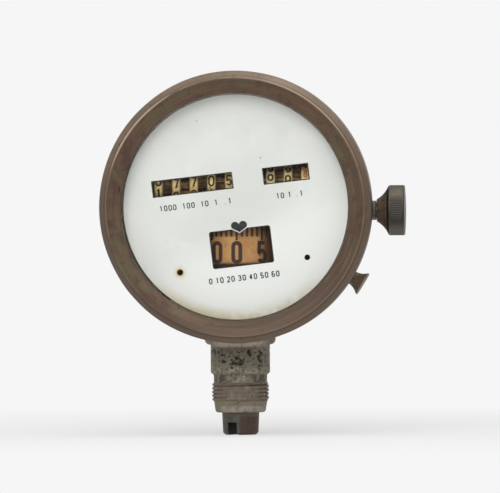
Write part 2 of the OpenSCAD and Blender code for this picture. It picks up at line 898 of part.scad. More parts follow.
module upper_bush() {
    bore = drive_shaft_r + running_clearance;
    color("peru")
        translate([0, -axis_depth, 0])
            rotate_extrude()
                polygon([[bore, spigot_top - bush_l], [stem_bush_r - seat_clearance, spigot_top - bush_l],
                         [stem_bush_r - seat_clearance, spigot_top], [bush_lip_r, spigot_top],
                         [bush_lip_r, spigot_top + bush_lip_t], [bore, spigot_top + bush_lip_t]]);
}

magnet_hub_bottom = magnet_bottom + 1.5;

module drive_shaft() {
    color("slategray")
        translate([0, -axis_depth, 0])
            difference() {
                rotate_extrude()
                    polygon([[0, tip_top - tip_shank_l], [tip_shank_r, tip_top - tip_shank_l],
                             [tip_shank_r, tip_top], [drive_shaft_r, tip_top],
                             [drive_shaft_r, magnet_hub_bottom], [shaft_head_r, magnet_hub_bottom],
                             [shaft_head_r, magnet_top], [0, magnet_top]]);
                translate([0, 0, magnet_top - jewel_t])
                    rod(jewel_r + seat_clearance, jewel_t + 1);
            }
}

module drive_tip() {
    tip_r = tip_d / 2;
    foot_r = tip_r - 0.3;
    edge = 0.8;
    color("darkslategray")
        translate([0, -axis_depth, 0])
            difference() {
                rotate_extrude()
                    polygon([[0, tip_bottom], [foot_r - edge, tip_bottom], [foot_r, tip_bottom + edge],
                             [tip_r, tip_top], [0, tip_top]]);
                translate([0, 0, tip_top - tip_shank_l])
                    rod(tip_shank_r + seat_clearance, tip_shank_l + 1);
                rotate(-tip_slot_turn)
                    translate([-tip_slot_w / 2, -tip_d, tip_bottom - 1])
                        cube([tip_slot_w, 2 * tip_d, tip_slot_l + 1]);
            }
}

module drive_worm() {
    color("darkgray")
        translate([0, -axis_depth, 0])
            difference() {
                union() {
                    translate([0, 0, cross_z])
                        worm(drive_worm_r, drive_worm_l, -90);
                    translate([0, 0, worm_collar_bottom])
                        rod(drive_worm_r - worm_dedendum - 0.1, drive_worm_bottom - worm_collar_bottom + 0.5);
                }
                translate([0, 0, worm_collar_bottom - 1])
                    rod(drive_shaft_r + seat_clearance, 3 * drive_worm_l);
            }
}

module magnet() {
    color("darkred")
        translate([0, -axis_depth, magnet_bottom])
            tube(magnet_r, magnet_hub_r, magnet_h);
}

module magnet_hub() {
    color("gold")
        translate([0, -axis_depth, magnet_hub_bottom])
            tube(magnet_hub_r - seat_clearance, shaft_head_r + seat_clearance,
                 magnet_top - magnet_hub_bottom);
}

// A pierced jewel that a pivot turns in
module jewel() {
    tube(jewel_r, pivot_r + running_clearance, jewel_t);
}

module lower_jewel() {
    color("crimson")
        translate([0, -axis_depth, magnet_top - jewel_t])
            jewel();
}

module upper_jewel() {
    color("crimson")
        translate([0, -axis_depth, bridge_bottom])
            jewel();
}

module speed_drum() {
    hub_r = collet_r + 0.6;
    color("tan")
        translate([0, -axis_depth, 0])
            rotate_extrude()
                polygon([[drum_arbor_r + seat_clearance, drum_top - 2], [hub_r, drum_top - 2],
                         [hub_r, drum_top - drum_wall], [drum_r - drum_wall, drum_top - drum_wall],
                         [drum_r - drum_wall, drum_bottom], [drum_r, drum_bottom], [drum_r, drum_top],
                         [drum_arbor_r + seat_clearance, drum_top]]);
}

module drum_arbor() {
    shoulder = end_play;
    color("lightsteelblue")
        translate([0, -axis_depth, 0])
            rotate_extrude()
                polygon([[0, magnet_top - jewel_t + 0.2], [pivot_r, magnet_top - jewel_t + 0.2],
                         [pivot_r, magnet_top + shoulder], [drum_arbor_r, magnet_top + shoulder],
                         [drum_arbor_r, drum_top], [collet_r, drum_top],
                         [collet_r, hairspring_z + hairspring_h + 0.3],
                         [drum_arbor_r, hairspring_z + hairspring_h + 0.3],
                         [drum_arbor_r, bridge_bottom - shoulder],
                         [pivot_r, bridge_bottom - shoulder], [pivot_r, bridge_bottom + jewel_t - 0.2],
                         [0, bridge_bottom + jewel_t - 0.2]]);
}

// A flat spiral that ends beside its stud, with its gap between turns printed
hairspring_steps = round(hairspring_turns * 20);
function hairspring_point(i, side) =
    let (share = i / hairspring_steps,
         r = hairspring_inner + share * hairspring_turns * hairspring_step + side * hairspring_t / 2,
         turn = 90 + 360 * (share - 1) * hairspring_turns)
    [r * cos(turn), r * sin(turn)];
echo(hairspring_gap = hairspring_step - hairspring_t);

module hairspring() {
    color("steelblue")
        translate([0, -axis_depth, hairspring_z])
            linear_extrude(hairspring_h)
                polygon(concat(
                    [for (i = [0 : hairspring_steps]) hairspring_point(i, 1)],
                    [for (i = [hairspring_steps : -1 : 0]) hairspring_point(i, -1)]));
}

// Gear train

cross_arbor_start = -lower_cheek_x - bracket_t;
cross_arbor_end = side_x + worm_l / 2 + 0.5;

module cross_arbor() {
    color("slategray")
        union() {
            along_x(cross_arbor_start, train_depth, cross_z)
                rod(train_arbor_r, cross_arbor_end - cross_arbor_start);
            along_x(side_x, train_depth, cross_z)
                worm(worm_r, worm_l, 90);
        }
}

module cross_wheel() {
    color("gold")
        along_x(0, train_depth, cross_z)
            worm_wheel(train_arbor_r + seat_clearance);
}

side_shaft_bottom = cross_z - worm_wheel_w / 2 - 1;
side_shaft_top = side_shelf_high + bracket_t;

module side_shaft() {
    color("slategray")
        union() {
            translate([side_x, -side_depth, side_shaft_bottom])
                rod(train_arbor_r, side_shaft_top - side_shaft_bottom);
            translate([side_x, -side_depth, carry_z])
                worm(worm_r, worm_l, -90);
        }
}

module side_wheel() {
    color("gold")
        translate([side_x, -side_depth, cross_z])
            worm_wheel(train_arbor_r + seat_clearance);
}

carry_gear_w = 2;
season_gear_x = season_x(4) + band_w / 2 + (season_boss_w - carry_gear_w) / 2;
trip_gear_x = trip_x(2) + band_w / 2 + (trip_boss_w - carry_gear_w) / 2;
carry_start = season_gear_x - 0.5;
carry_end = right_bracket_x + bracket_t;

module carry_shaft() {
    color("slategray")
        along_x(carry_start, train_depth, carry_z)
            rod(train_arbor_r, carry_end - carry_start);
}

module carry_wheel() {
    color("gold")
        along_x(side_x, train_depth, carry_z)
            worm_wheel(train_arbor_r + seat_clearance);
}

module carry_gears() {
    color("gold")
        for (x = [season_gear_x, trip_gear_x])
            along_x(x, train_depth, carry_z)
                rotate(180 / carry_teeth)
                    spur_gear(carry_teeth, spur_module, carry_gear_w,
                              train_arbor_r + seat_clearance, spur_play);
}

// Registers

// A number wheel along +Z from z = 0: a plain band, then the toothed boss that its carry pinion turns
module number_wheel(r, boss_mod, boss_w) {
    bore = register_arbor_r + running_clearance;
    tube(r, bore, band_w);
    translate([0, 0, band_w])
        spur_gear(boss_teeth, boss_mod, boss_w, bore, pinion_play);
}

// The fastest wheel of a register, whose boss is the gear that the carry shaft turns
module driven_wheel(r, boss_w) {
    bore = register_arbor_r + running_clearance;
    tube(r, bore, band_w);
    translate([0, 0, band_w])
        spur_gear(carry_teeth, spur_module, boss_w, bore, spur_play);
}

module season_wheel(i) {
    color(i == season_count - 1 ? "wheat" : "moccasin")
        along_x(season_x(i) - band_w / 2, train_depth, register_z)
            if (i == season_count - 1)
                driven_wheel(season_r, season_boss_w);
            else
                number_wheel(season_r, season_boss_module, season_boss_w);
}

module trip_wheel(i) {
    color(i == trip_count - 1 ? "sandybrown" : "moccasin")
        along_x(trip_x(i) - band_w / 2, train_depth, register_z)
            if (i == trip_count - 1)
                driven_wheel(trip_r, trip_boss_w);
            else
                number_wheel(trip_r, trip_boss_module, trip_boss_w);
}

season_arbor_end = middle_bracket_x + middle_bracket_t / 2 - 0.1;

module season_arbor() {
    color("silver")
        along_x(0, train_depth, register_z) {
            translate([0, 0, left_bracket_x])
                rod(register_arbor_r, season_arbor_end - left_bracket_x);
            for (span = [[left_bracket_x + bracket_t, season_left - end_play],
                         [season_right + end_play, middle_bracket_x]])
                translate([0, 0, span[0]])
                    rod(arbor_collar_r, span[1] - span[0]);
        }
}

// The gear cut on the trip arbor and on the reset spindle
module reset_gear() {
    linear_extrude(reset_gear_w)
        polygon(gear_outline(reset_teeth, spur_module, spur_addendum, spur_dedendum, spur_play));
}

trip_arbor_start = middle_bracket_x + middle_bracket_t / 2 + 0.1;

module trip_arbor() {
    color("silver")
        along_x(0, train_depth, register_z) {
            translate([0, 0, trip_arbor_start])
                rod(register_arbor_r, reset_gear_x + reset_gear_w - trip_arbor_start);
            for (span = [[middle_bracket_x + middle_bracket_t + end_play, trip_left - end_play],
                         [trip_right + end_play, right_bracket_x - end_play]])
                translate([0, 0, span[0]])
                    rod(arbor_collar_r, span[1] - span[0]);
            translate([0, 0, reset_gear_x])
                reset_gear();
        }
}

module season_pinion_arbor() {
    end = middle_bracket_x + middle_bracket_t;
    color("silver")
        along_x(left_bracket_x, train_depth - season_pinion_offset, register_z)
            rod(pinion_arbor_r, end - left_bracket_x);
}

// A stud in the middle bracket that stops short of the last trip wheel's gear
module trip_pinion_arbor() {
    end = trip_x(2) - band_w / 2;
    color("silver")
        along_x(middle_bracket_x, train_depth, register_z - trip_pinion_offset)
            rod(pinion_arbor_r, end - middle_bracket_x);
}

// A carry pinion, half a tooth turned so that a gap faces its wheel
module carry_pinion(mod, w) {
    rotate(180 / pinion_teeth)
        spur_gear(pinion_teeth, mod, w, pinion_arbor_r + running_clearance, pinion_play);
}

module season_pinion(i) {
    color("gold")
        along_x(season_x(i) + band_w / 2 + wheel_gap, train_depth - season_pinion_offset, register_z)
            carry_pinion(season_boss_module, season_boss_w - wheel_gap);
}

module trip_pinion(i) {
    color("gold")
        along_x(trip_x(i) + band_w / 2 + wheel_gap, train_depth, register_z - trip_pinion_offset)
            carry_pinion(trip_boss_module, trip_boss_w - wheel_gap);
}

// Reset knob and pull button

module reset_spindle() {
    color("silver")
        along_x(0, train_depth, spindle_z) {
            translate([0, 0, spindle_inner])
                rod(spindle_r, knob_socket_end - spindle_inner);
            translate([0, 0, reset_gear_x])
                rotate(180 / reset_teeth)
                    reset_gear();
        }
}

knurl_depth = 0.35;
knurl_root_gap = 0.2;
knob_core_sunk = 0.4;

module reset_knob() {
    core_r = knob_r - knurl_depth - knurl_root_gap;
    rim_top = knob_flare_l + knob_rim_w;
    face_top = rim_top + knob_dome;
    flare_start = [knob_flare_r, 0];
    flare_end = [core_r, knob_flare_l + knob_core_sunk];
    flare_sag = 0.45;
    color("darkolivegreen")
        along_x(knob_start, train_depth, spindle_z)
            difference() {
                union() {
                    rotate_extrude()
                        difference() {
                            polygon([[0, 0], flare_start, flare_end, [core_r, rim_top - knob_core_sunk],
                                     [core_r - 1, face_top], [0, face_top]]);
                            translate(hollow_centre(flare_start, flare_end, flare_sag))
                                circle(hollow_r(flare_start, flare_end, flare_sag));
                        }
                    translate([0, 0, knob_flare_l])
                        linear_extrude(knob_rim_w)
                            polygon([for (i = [0 : 2 * knob_ridges - 1])
                                let (r = knob_r - (i % 2) * knurl_depth, turn = 180 * i / knob_ridges)
                                [r * cos(turn), r * sin(turn)]]);
                }
                translate([0, 0, -1])
                    rod(spindle_r + seat_clearance, knob_socket_end - knob_start + 1);
            }
}

module knob_bush() {
    groove = 0.25;
    groove_count = 3;
    groove_from = case_r + 1.6;
    groove_step = (neck_end - groove_from) / groove_count;
    color("darkolivegreen")
        along_x(0, train_depth, spindle_z)
            rotate_extrude()
                polygon(concat(
                    [[spindle_r + running_clearance, neck_start], [knob_neck_r, neck_start],
                     [knob_neck_r, groove_from]],
                    [for (i = [0 : groove_count - 1],
                          p = [[0, 0.2], [groove, 0.35], [groove, 0.65], [0, 0.8]])
                        [knob_neck_r - p[0], groove_from + (i + p[1]) * groove_step]],
                    [[knob_neck_r, neck_end], [spindle_r + running_clearance, neck_end]]));
}

module pull_button() {
    waist = [button_waist_r, button_start];
    flare = [button_r, button_start + button_l - 0.7];
    flare_sag = 0.5;
    color("darkolivegreen")
        along_button()
            rotate_extrude()
                difference() {
                    polygon([[0, button_rod_in], [button_collar_r, button_rod_in],
                             [button_collar_r, button_rod_in + button_collar_t],
                             [button_rod_r, button_rod_in + button_collar_t],
                             [button_rod_r, button_start], waist, flare,
                             [button_r, button_start + button_l], [0, button_start + button_l]]);
                    translate(hollow_centre(waist, flare, flare_sag))
                        circle(hollow_r(waist, flare, flare_sag));
                }
}

module button_bush() {
    color("darkolivegreen")
        along_button()
            translate([0, 0, button_bush_in])
                tube(button_bush_r, button_rod_r + running_clearance, button_bush_out - button_bush_in);
}

// A coil of round wire along +Z: one unbroken tube of six-sided rings
function coil_point(i, side, coil_r, wire_r, l, turns, steps) =
    let (turn = 360 * turns * i / steps, lean = 360 * side / coil_sides, r = coil_r + wire_r * cos(lean))
    [r * cos(turn), r * sin(turn), wire_r + (l - 2 * wire_r) * i / steps + wire_r * sin(lean)];
coil_sides = 6;
coil_steps_per_turn = 12;

module coil(coil_r, wire_r, l, turns) {
    steps = turns * coil_steps_per_turn;
    points = [for (i = [0 : steps], side = [0 : coil_sides - 1])
        coil_point(i, side, coil_r, wire_r, l, turns, steps)];
    walls = [for (i = [0 : steps - 1], side = [0 : coil_sides - 1])
        let (a = i * coil_sides + side, b = i * coil_sides + (side + 1) % coil_sides)
        each [[a, b, b + coil_sides], [a, b + coil_sides, a + coil_sides]]];
    first = [for (side = [1 : coil_sides - 2]) [0, side + 1, side]];
    last = [for (side = [1 : coil_sides - 2]) [0, side, side + 1] + [1, 1, 1] * steps * coil_sides];
    echo(coil_gap = (l - 2 * wire_r) / turns - 2 * wire_r);
    polyhedron(points, concat(walls, first, last));
}

// The spring round the button's rod, from its collar to the bush
module button_spring() {
    wire_r = 0.22;
    coil_turns = 5;
    color("lightsteelblue")
        along_button()
            translate([0, 0, button_rod_in + button_collar_t + spring_seat_gap])
                coil(button_rod_r + 0.35 + wire_r, wire_r, button_spring_l - 2 * spring_seat_gap, coil_turns);
}

case();
bezel();
glass();
dial_ring();
dial();
dial_bed();
movement_plate();
movement_screws();
frame_screws();
left_bracket();
middle_bracket();
right_bracket();
drum_bridge();
lower_bracket();
side_bracket();
stem();
stem_nut();
lower_bush();
upper_bush();
drive_shaft();
drive_tip();
drive_worm();
magnet();
magnet_hub();
lower_jewel();
upper_jewel();
speed_drum();
drum_arbor();
hairspring();
cross_arbor();
cross_wheel();
side_shaft();
side_wheel();
carry_shaft();
carry_wheel();
carry_gears();
season_arbor();
for (i = [0 : season_count - 1]) season_wheel(i);
season_pinion_arbor();
for (i = [0 : season_count - 2]) season_pinion(i);
trip_arbor();
for (i = [0 : trip_count - 1]) trip_wheel(i);
trip_pinion_arbor();
for (i = [0 : trip_count - 2]) trip_pinion(i);
reset_spindle();
reset_knob();
knob_bush();
pull_button();
button_bush();
button_spring();
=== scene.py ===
import json
import math
import random

import bmesh
import bpy
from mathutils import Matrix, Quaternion, Vector, noise


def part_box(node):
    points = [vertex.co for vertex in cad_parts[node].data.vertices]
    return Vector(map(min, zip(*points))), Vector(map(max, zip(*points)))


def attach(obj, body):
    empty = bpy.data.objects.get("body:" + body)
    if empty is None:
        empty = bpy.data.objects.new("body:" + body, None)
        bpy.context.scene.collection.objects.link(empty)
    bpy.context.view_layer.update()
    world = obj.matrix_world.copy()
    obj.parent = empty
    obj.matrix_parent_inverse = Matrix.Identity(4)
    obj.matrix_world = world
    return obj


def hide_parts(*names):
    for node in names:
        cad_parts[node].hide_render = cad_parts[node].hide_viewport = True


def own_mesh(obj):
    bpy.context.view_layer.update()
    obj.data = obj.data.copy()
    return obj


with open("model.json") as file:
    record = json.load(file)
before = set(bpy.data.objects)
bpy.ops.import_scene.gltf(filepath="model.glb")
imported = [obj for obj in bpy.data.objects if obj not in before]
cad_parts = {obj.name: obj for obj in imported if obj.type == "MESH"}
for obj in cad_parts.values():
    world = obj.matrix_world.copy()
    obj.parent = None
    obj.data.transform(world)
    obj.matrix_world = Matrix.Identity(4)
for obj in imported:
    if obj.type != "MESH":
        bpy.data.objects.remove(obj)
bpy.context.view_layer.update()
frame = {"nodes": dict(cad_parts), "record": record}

# Sizes are in millimetres and follow the solids. A depth d lies at y = -d, and the dial faces -y.
MM = 0.001
AXIS_DEPTH = 25.0
TRAIN_DEPTH = 35.4
DIAL_FRONT = 45.0
DIAL_TURN = math.radians(6.4)
DIAL_SLIP = (0.3, 0.25)
RUSTY_HOLE = (-21.4, -19.7)
# Windows of the dial: centre, width, height and corner radius
SEASON_WINDOW = ((-13.85, 8.8), 26.9, 5.3, 0.1)
TRIP_WINDOW = ((17.6, 8.8), 15.2, 5.3, 0.1)
SPEED_WINDOW = ((0.0, -13.75), 20.3, 12.2, 0.65)
REGISTER_Z = 8.5
SEASON_X = [-25.9, -20.0, -14.1, -8.2, -2.3]
SEASON_R = 7.0
TRIP_X = [11.5, 17.35, 23.2]
TRIP_R = 5.3
BAND_W = 3.0
DRUM_R = 18.0
DRUM_TOP = -6.5
TIP_BOTTOM = -76.55
TIP_SLOT_W = 3.4
TIP_SLOT_L = 4.2
TIP_SLOT_TURN = math.radians(26)
SLACK = 0.02
KNOB_Z = -1.5
NECK_R = 3.3
NECK_BORE = 1.6
BUTTON_ANGLE = math.radians(32)
BUTTON_AXIS = (math.cos(BUTTON_ANGLE), 0.0, -math.sin(BUTTON_ANGLE))
INK_LIFT = 0.05
INK_SUNK = 0.03


# Places: points in millimetres on the dial's plan, and round the axes of turned pieces

def on_dial(x, z, lift):
    """A point of the dial's own plan, which is turned a little on its bed."""
    return (DIAL_SLIP[0] + x * math.cos(DIAL_TURN) - z * math.sin(DIAL_TURN), -(DIAL_FRONT + lift),
            DIAL_SLIP[1] + x * math.sin(DIAL_TURN) + z * math.cos(DIAL_TURN))


def about_dial(radius, depth, angle):
    return radius * math.cos(angle), -depth, radius * math.sin(angle)


def about_stem(radius, height, angle):
    return radius * math.cos(angle), -AXIS_DEPTH + radius * math.sin(angle), height


def about_knob(radius, x, angle):
    return x, -TRAIN_DEPTH + radius * math.cos(angle), KNOB_Z + radius * math.sin(angle)


def about_button(radius, reach, angle):
    side = Vector((math.sin(BUTTON_ANGLE), 0, math.cos(BUTTON_ANGLE)))
    back = Vector((0, radius * math.sin(angle) - TRAIN_DEPTH, 0))
    return tuple(Vector(BUTTON_AXIS) * reach + side * radius * math.cos(angle) + back)


# Materials: small helpers

# Sockets of a colour Mix node: the two colours that go in, and the one that comes out
MIX_UNDER, MIX_OVER, MIX_OUT = 6, 7, 2


def linear(hex_colour):
    """An sRGB hex colour as linear red, green, blue and alpha."""
    parts = [int(hex_colour[i:i + 2], 16) / 255 for i in (1, 3, 5)]
    return [p / 12.92 if p <= 0.04045 else ((p + 0.055) / 1.055) ** 2.4 for p in parts] + [1.0]


def add(tree, kind, settings=None, links=None):
    """Adds one node with its settings and links. A key is a socket's name or number, or a property."""
    node = tree.nodes.new("ShaderNode" + kind)
    for key, value in (settings or {}).items():
        if isinstance(key, int) or key in node.inputs:
            node.inputs[key].default_value = value
        else:
            setattr(node, key, value)
    for key, source in (links or {}).items():
        tree.links.new(source, node.inputs[key])
    return node


def any_ray(tree, *kinds):
    """1 for a ray of any of these kinds, 0 for the others."""
    path = add(tree, "LightPath").outputs
    found = path[kinds[0]]
    for kind in kinds[1:]:
        found = add(tree, "Math", {"operation": "MAXIMUM"}, {0: found, 1: path[kind]}).outputs[0]
    return found


class Finish:
    """A named material with one shader, and the patterns finishes share. Places are in millimetres."""

    def __init__(self, name, sockets):
        """Values that are even all over are set on the shader's own sockets."""
        self.material = bpy.data.materials.new(name)
        self.material.use_nodes = True
        self.tree = self.material.node_tree
        self.tree.nodes.clear()
        self.shader = add(self.tree, "BsdfPrincipled", sockets)
        self.output = add(self.tree, "OutputMaterial", links={"Surface": self.shader.outputs["BSDF"]})
        metres = add(self.tree, "TexCoord").outputs["Object"]
        scaled = add(self.tree, "VectorMath", {"operation": "SCALE", "Scale": 1 / MM}, {0: metres})
        self.place = scaled.outputs["Vector"]
        self.x, self.y, self.z = add(self.tree, "SeparateXYZ", links={"Vector": self.place}).outputs

    def where(self, *ranges):
        """A mask: 1 where every value has passed its end, 0 where one is before its start, smooth between."""
        mask = None
        for value, start, end in ranges:
            settings = {"interpolation_type": "SMOOTHSTEP", "From Min": start, "From Max": end}
            passed = add(self.tree, "MapRange", settings, {"Value": value}).outputs["Result"]
            if mask is None:
                mask = passed
            else:
                mask = add(self.tree, "Math", {"operation": "MULTIPLY"}, {0: mask, 1: passed}).outputs[0]
        return mask

    def patches(self, size, start, end, detail=4.0, rough=0.6):
        """A mask of soft patches about size millimetres across. Start and end set how much they cover."""
        cloud = add(self.tree, "TexNoise", {"Scale": 1 / size, "Detail": detail, "Roughness": rough},
                    {"Vector": self.place})
        return self.where((cloud.outputs["Fac"], start, end))

    def from_axis(self):
        """The way from the dial's axis, and its length."""
        way = add(self.tree, "CombineXYZ", links={"X": self.x, "Z": self.z}).outputs["Vector"]
        return way, add(self.tree, "VectorMath", {"operation": "LENGTH"}, {0: way}).outputs["Value"]

    def coats(self, ground, *layers):
        """Colours the surface: each layer, a hex colour with one or more masks, lies over the last."""
        colour = None
        for hex_colour, cover, *limits in layers:
            for limit in limits:
                cover = add(self.tree, "Math", {"operation": "MULTIPLY"}, {0: cover, 1: limit}).outputs[0]
            settings = {"data_type": "RGBA", MIX_OVER: linear(hex_colour)}
            links = {0: cover}
            if colour is None:
                settings[MIX_UNDER] = linear(ground)
            else:
                links[MIX_UNDER] = colour
            colour = add(self.tree, "Mix", settings, links).outputs[MIX_OUT]
        self.tree.links.new(colour, self.shader.inputs["Base Color"])

    def grained(self, size, rough, depth, under=None):
        """Fine grain, size across and depth deep, that moves the roughness between two values."""
        grain = add(self.tree, "TexNoise", {"Scale": 1 / size, "Detail": 5.0}, {"Vector": self.place})
        grain = grain.outputs["Fac"]
        gloss = add(self.tree, "MapRange", {"From Min": 0.25, "From Max": 0.75, "To Min": rough[0],
                                            "To Max": rough[1]}, {"Value": grain})
        self.tree.links.new(gloss.outputs["Result"], self.shader.inputs["Roughness"])
        bump = add(self.tree, "Bump", {"Strength": 0.3, "Distance": depth * MM}, {"Height": grain})
        if under is not None:
            self.tree.links.new(under, bump.inputs["Normal"])
        self.tree.links.new(bump.outputs["Normal"], self.shader.inputs["Normal"])

    def share_with(self, other, share):
        """Gives a share of the surface to another shader."""
        both = add(self.tree, "MixShader", links={0: share, 1: self.shader.outputs["BSDF"], 2: other})
        self.tree.links.new(both.outputs["Shader"], self.output.inputs["Surface"])


def spun_streaks(look, way, across, width, length_rad):
    """Streaks left by spinning and rubbing: width millimetres across and length_rad radians long."""
    heading = add(look.tree, "VectorMath", {"operation": "NORMALIZE"}, {0: way}).outputs["Vector"]
    run = add(look.tree, "VectorMath", {"operation": "SCALE", "Scale": 1 / length_rad}, {0: heading})
    across = add(look.tree, "Math", {"operation": "MULTIPLY", 1: 1 / width}, {0: across}).outputs[0]
    settings = {"noise_dimensions": "4D", "Scale": 1.0, "Detail": 3.0, "Roughness": 0.55}
    links = {"Vector": run.outputs["Vector"], "W": across}
    return add(look.tree, "TexNoise", settings, links).outputs["Fac"]


# Materials: one function for each kind of finish, with what it gives the eye

def bronze_patina():
    """Spun bronze gone brown: soft sheen, streaks round the axis, olive stains, painted light and shade, and
    painted highlights on the ridge.
    """
    look = Finish("spun_brown_bronze", {"Metallic": 0.4})
    tree, place, z = look.tree, look.place, look.z
    way, radius = look.from_axis()
    depth = add(tree, "Math", {"operation": "MULTIPLY", 1: -1.0}, {0: look.y}).outputs[0]
    across = add(tree, "Math", {"operation": "ADD"}, {0: radius, 1: depth}).outputs[0]
    streak = spun_streaks(look, way, across, 0.9, 0.6)
    nick = add(tree, "VectorMath", {"operation": "SUBTRACT", 1: (-38.55, -51.7, 6.1)}, {0: place})
    nick = add(tree, "VectorMath", {"operation": "MULTIPLY", 1: (1.0, 0.3, 0.3)}, {0: nick.outputs[0]})
    nick = add(tree, "VectorMath", {"operation": "LENGTH"}, {0: nick.outputs[0]}).outputs["Value"]
    upper_left_highlight_spot, upper_right_highlight_spot = [
        add(tree, "VectorMath", {"operation": "DISTANCE", 1: spot}, {0: place}).outputs["Value"]
        for spot in ((-34.0, -52.9, 26.0), (23.0, -52.0, 37.0))]
    low_right = add(tree, "VectorMath", {"operation": "DOT_PRODUCT", 1: (0.57, 0.0, -0.82)}, {0: place})
    low_right = low_right.outputs["Value"]
    upper = look.where((z, 2, 26))
    on_ridge = look.where((depth, 52.8, 52.93))
    on_band = look.where((radius, 43.4, 44.1), (depth, 49.2, 50.4))
    look.coats(
        "#523F30",
        ("#624B39", look.where((streak, 0.35, 0.68))),
        ("#5A5039", look.patches(12, 0.48, 0.62), look.where((streak, 0.2, 0.6))),
        ("#4E362D", look.patches(7, 0.5, 0.64)),
        ("#493D2C", look.patches(3.5, 0.54, 0.68)),
        # Painted shade: darker toward the lower right, most in the streaks' hollows, and low down in the
        # outer cove.
        ("#463324", look.where((low_right, 18, 36), (streak, 0.72, 0.4))),
        ("#4A382A", look.where((z, -18, -34), (radius, 40.6, 41.4))),
        ("#5F4F41", on_band),
        # Painted light: the band lighter on its top half, at the lower right and near the upper right spot.
        ("#776554", on_band, upper, look.patches(9, 0.2, 0.55)),
        ("#655445", on_band, look.where((low_right, 25, 40))),
        ("#857363", on_band, look.where((upper_right_highlight_spot, 20, 8))),
        ("#6C5C47", on_band, upper, look.where((streak, 0.5, 0.3))),
        ("#3C2E24", look.patches(1.3, 0.6, 0.74, 6.0)),
        # Painted highlights on the ridge: lighter except at the bottom, lighter still on top and at two spots
        # high up; painted shade on it at the lower right.
        ("#6B594A", on_ridge, look.where((z, -40, -15)), look.patches(8, 0.3, 0.6)),
        ("#5E4E3E", on_ridge, look.where((low_right, 20, 34))),
        ("#8E7966", on_ridge, upper, look.patches(10, 0.25, 0.6)),
        ("#A08C7C", on_ridge, look.where((upper_right_highlight_spot, 22, 10))),
        ("#A99686", on_ridge, look.where((upper_left_highlight_spot, 18, 6))),
        ("#3A2318", look.where((nick, 0.4, 0.28))))
    bump = add(tree, "Bump", {"Strength": 0.3, "Distance": 0.05 * MM}, {"Height": streak})
    look.grained(0.5, (0.38, 0.56), 0.04, bump.outputs["Normal"])
    return look.material


def worn_knob_bronze():
    """Cast and knurled bronze darkened by hands: grey green in the hollows, brown where it is worn, and
    painted shade and light on the rim.
    """
    look = Finish("handled_dark_bronze", {"Metallic": 0.65})
    x, y, z = look.x, look.y, look.z
    past_neck = (x, 46.55, 46.75)
    on_rim = look.where((x, 50.7, 51.2))
    look.coats(
        "#4A453D",
        ("#5A5144", look.patches(5, 0.4, 0.65)),
        ("#40403A", look.patches(2.5, 0.55, 0.75)),
        ("#96836D", look.where((x, 50.7, 50.4), past_neck), look.patches(2.5, 0.2, 0.6)),
        # The neck grey, stopping short of the flare, so that a dark band of painted shade lies at the join.
        ("#7D776C", look.where((x, 46.45, 46.0))),
        ("#6F6C58", look.where((x, 50.4, 50.0), (z, 1.0, 4.5), past_neck)),
        # Painted shade in the corner under the rim.
        ("#2B231B", look.where((x, 49.9, 50.35), (x, 50.95, 50.6))),
        # Greyer low on the rim: partly its tint, partly painted light from below.
        ("#605B51", on_rim, look.where((z, -5.5, -9.0))),
        # Painted shade: the rim's front darker.
        ("#36332D", on_rim, look.where((y, -41.5, -43.3))),
        ("#332B23", look.patches(0.9, 0.58, 0.75, 6.0)))
    look.grained(0.45, (0.34, 0.5), 0.05)
    return look.material


def worn_button_bronze():
    """Turned bronze worn by years of handling: brown waist with olive stains, and a lip worn grey."""
    look = Finish("handled_brown_bronze", {"Metallic": 0.35})
    reach = add(look.tree, "VectorMath", {"operation": "DOT_PRODUCT", 1: BUTTON_AXIS}, {0: look.place})
    reach = reach.outputs["Value"]
    look.coats(
        "#A08970",
        ("#7F7860", look.patches(2, 0.42, 0.56)),
        ("#927C65", look.where((reach, 46.8, 47.9), (reach, 49.0, 48.6))),
        ("#91867B", look.where((reach, 48.7, 49.1), (reach, 49.43, 49.3))),
        ("#4A3F31", look.patches(0.9, 0.55, 0.7, 6.0)))
    look.grained(0.45, (0.42, 0.6), 0.05)
    return look.material


def aged_enamel():
    """Stove enamel on copper: near white, a little green, yellowed low down and rusty round one hole, with
    painted light toward the lower right.
    """
    look = Finish("aged_white_enamel", {"Roughness": 0.42, "IOR": 1.5, "Specular IOR Level": 0.35})
    tree, place = look.tree, look.place
    _, radius = look.from_axis()
    to_hole = add(tree, "VectorMath", {"operation": "DISTANCE", 1: on_dial(*RUSTY_HOLE, 0)}, {0: place})
    to_hole = to_hole.outputs["Value"]
    low_right = add(tree, "VectorMath", {"operation": "DOT_PRODUCT", 1: (0.45, 0.0, -0.89)}, {0: place})
    look.coats(
        "#E2E3DE",
        ("#DBDED9", look.patches(16, 0.4, 0.7)),
        ("#E7E7E2", look.patches(7, 0.55, 0.8)),
        ("#D9DAD5", look.where((radius, 22, 8))),
        # Painted light: lighter toward the lower right.
        ("#EAEBE7", look.where((low_right.outputs["Value"], 3, 18))),
        ("#C9BF99", look.where((look.z, -20, -36), (radius, 33, 38)), look.patches(6, 0.2, 0.55)),
        ("#DCCB96", look.where((to_hole, 2.6, 0.9)), look.patches(1.6, 0.2, 0.6)),
        ("#A98B4E", look.where((to_hole, 1.35, 1.0))),
        ("#B9B8AE", look.patches(0.8, 0.72, 0.8, 2.0)))
    wave = add(tree, "TexNoise", {"Scale": 1 / 3, "Detail": 2.0}, {"Vector": place}).outputs["Fac"]
    bump = add(tree, "Bump", {"Strength": 0.08, "Distance": 0.05 * MM}, {"Height": wave})
    tree.links.new(bump.outputs["Normal"], look.shader.inputs["Normal"])
    return look.material


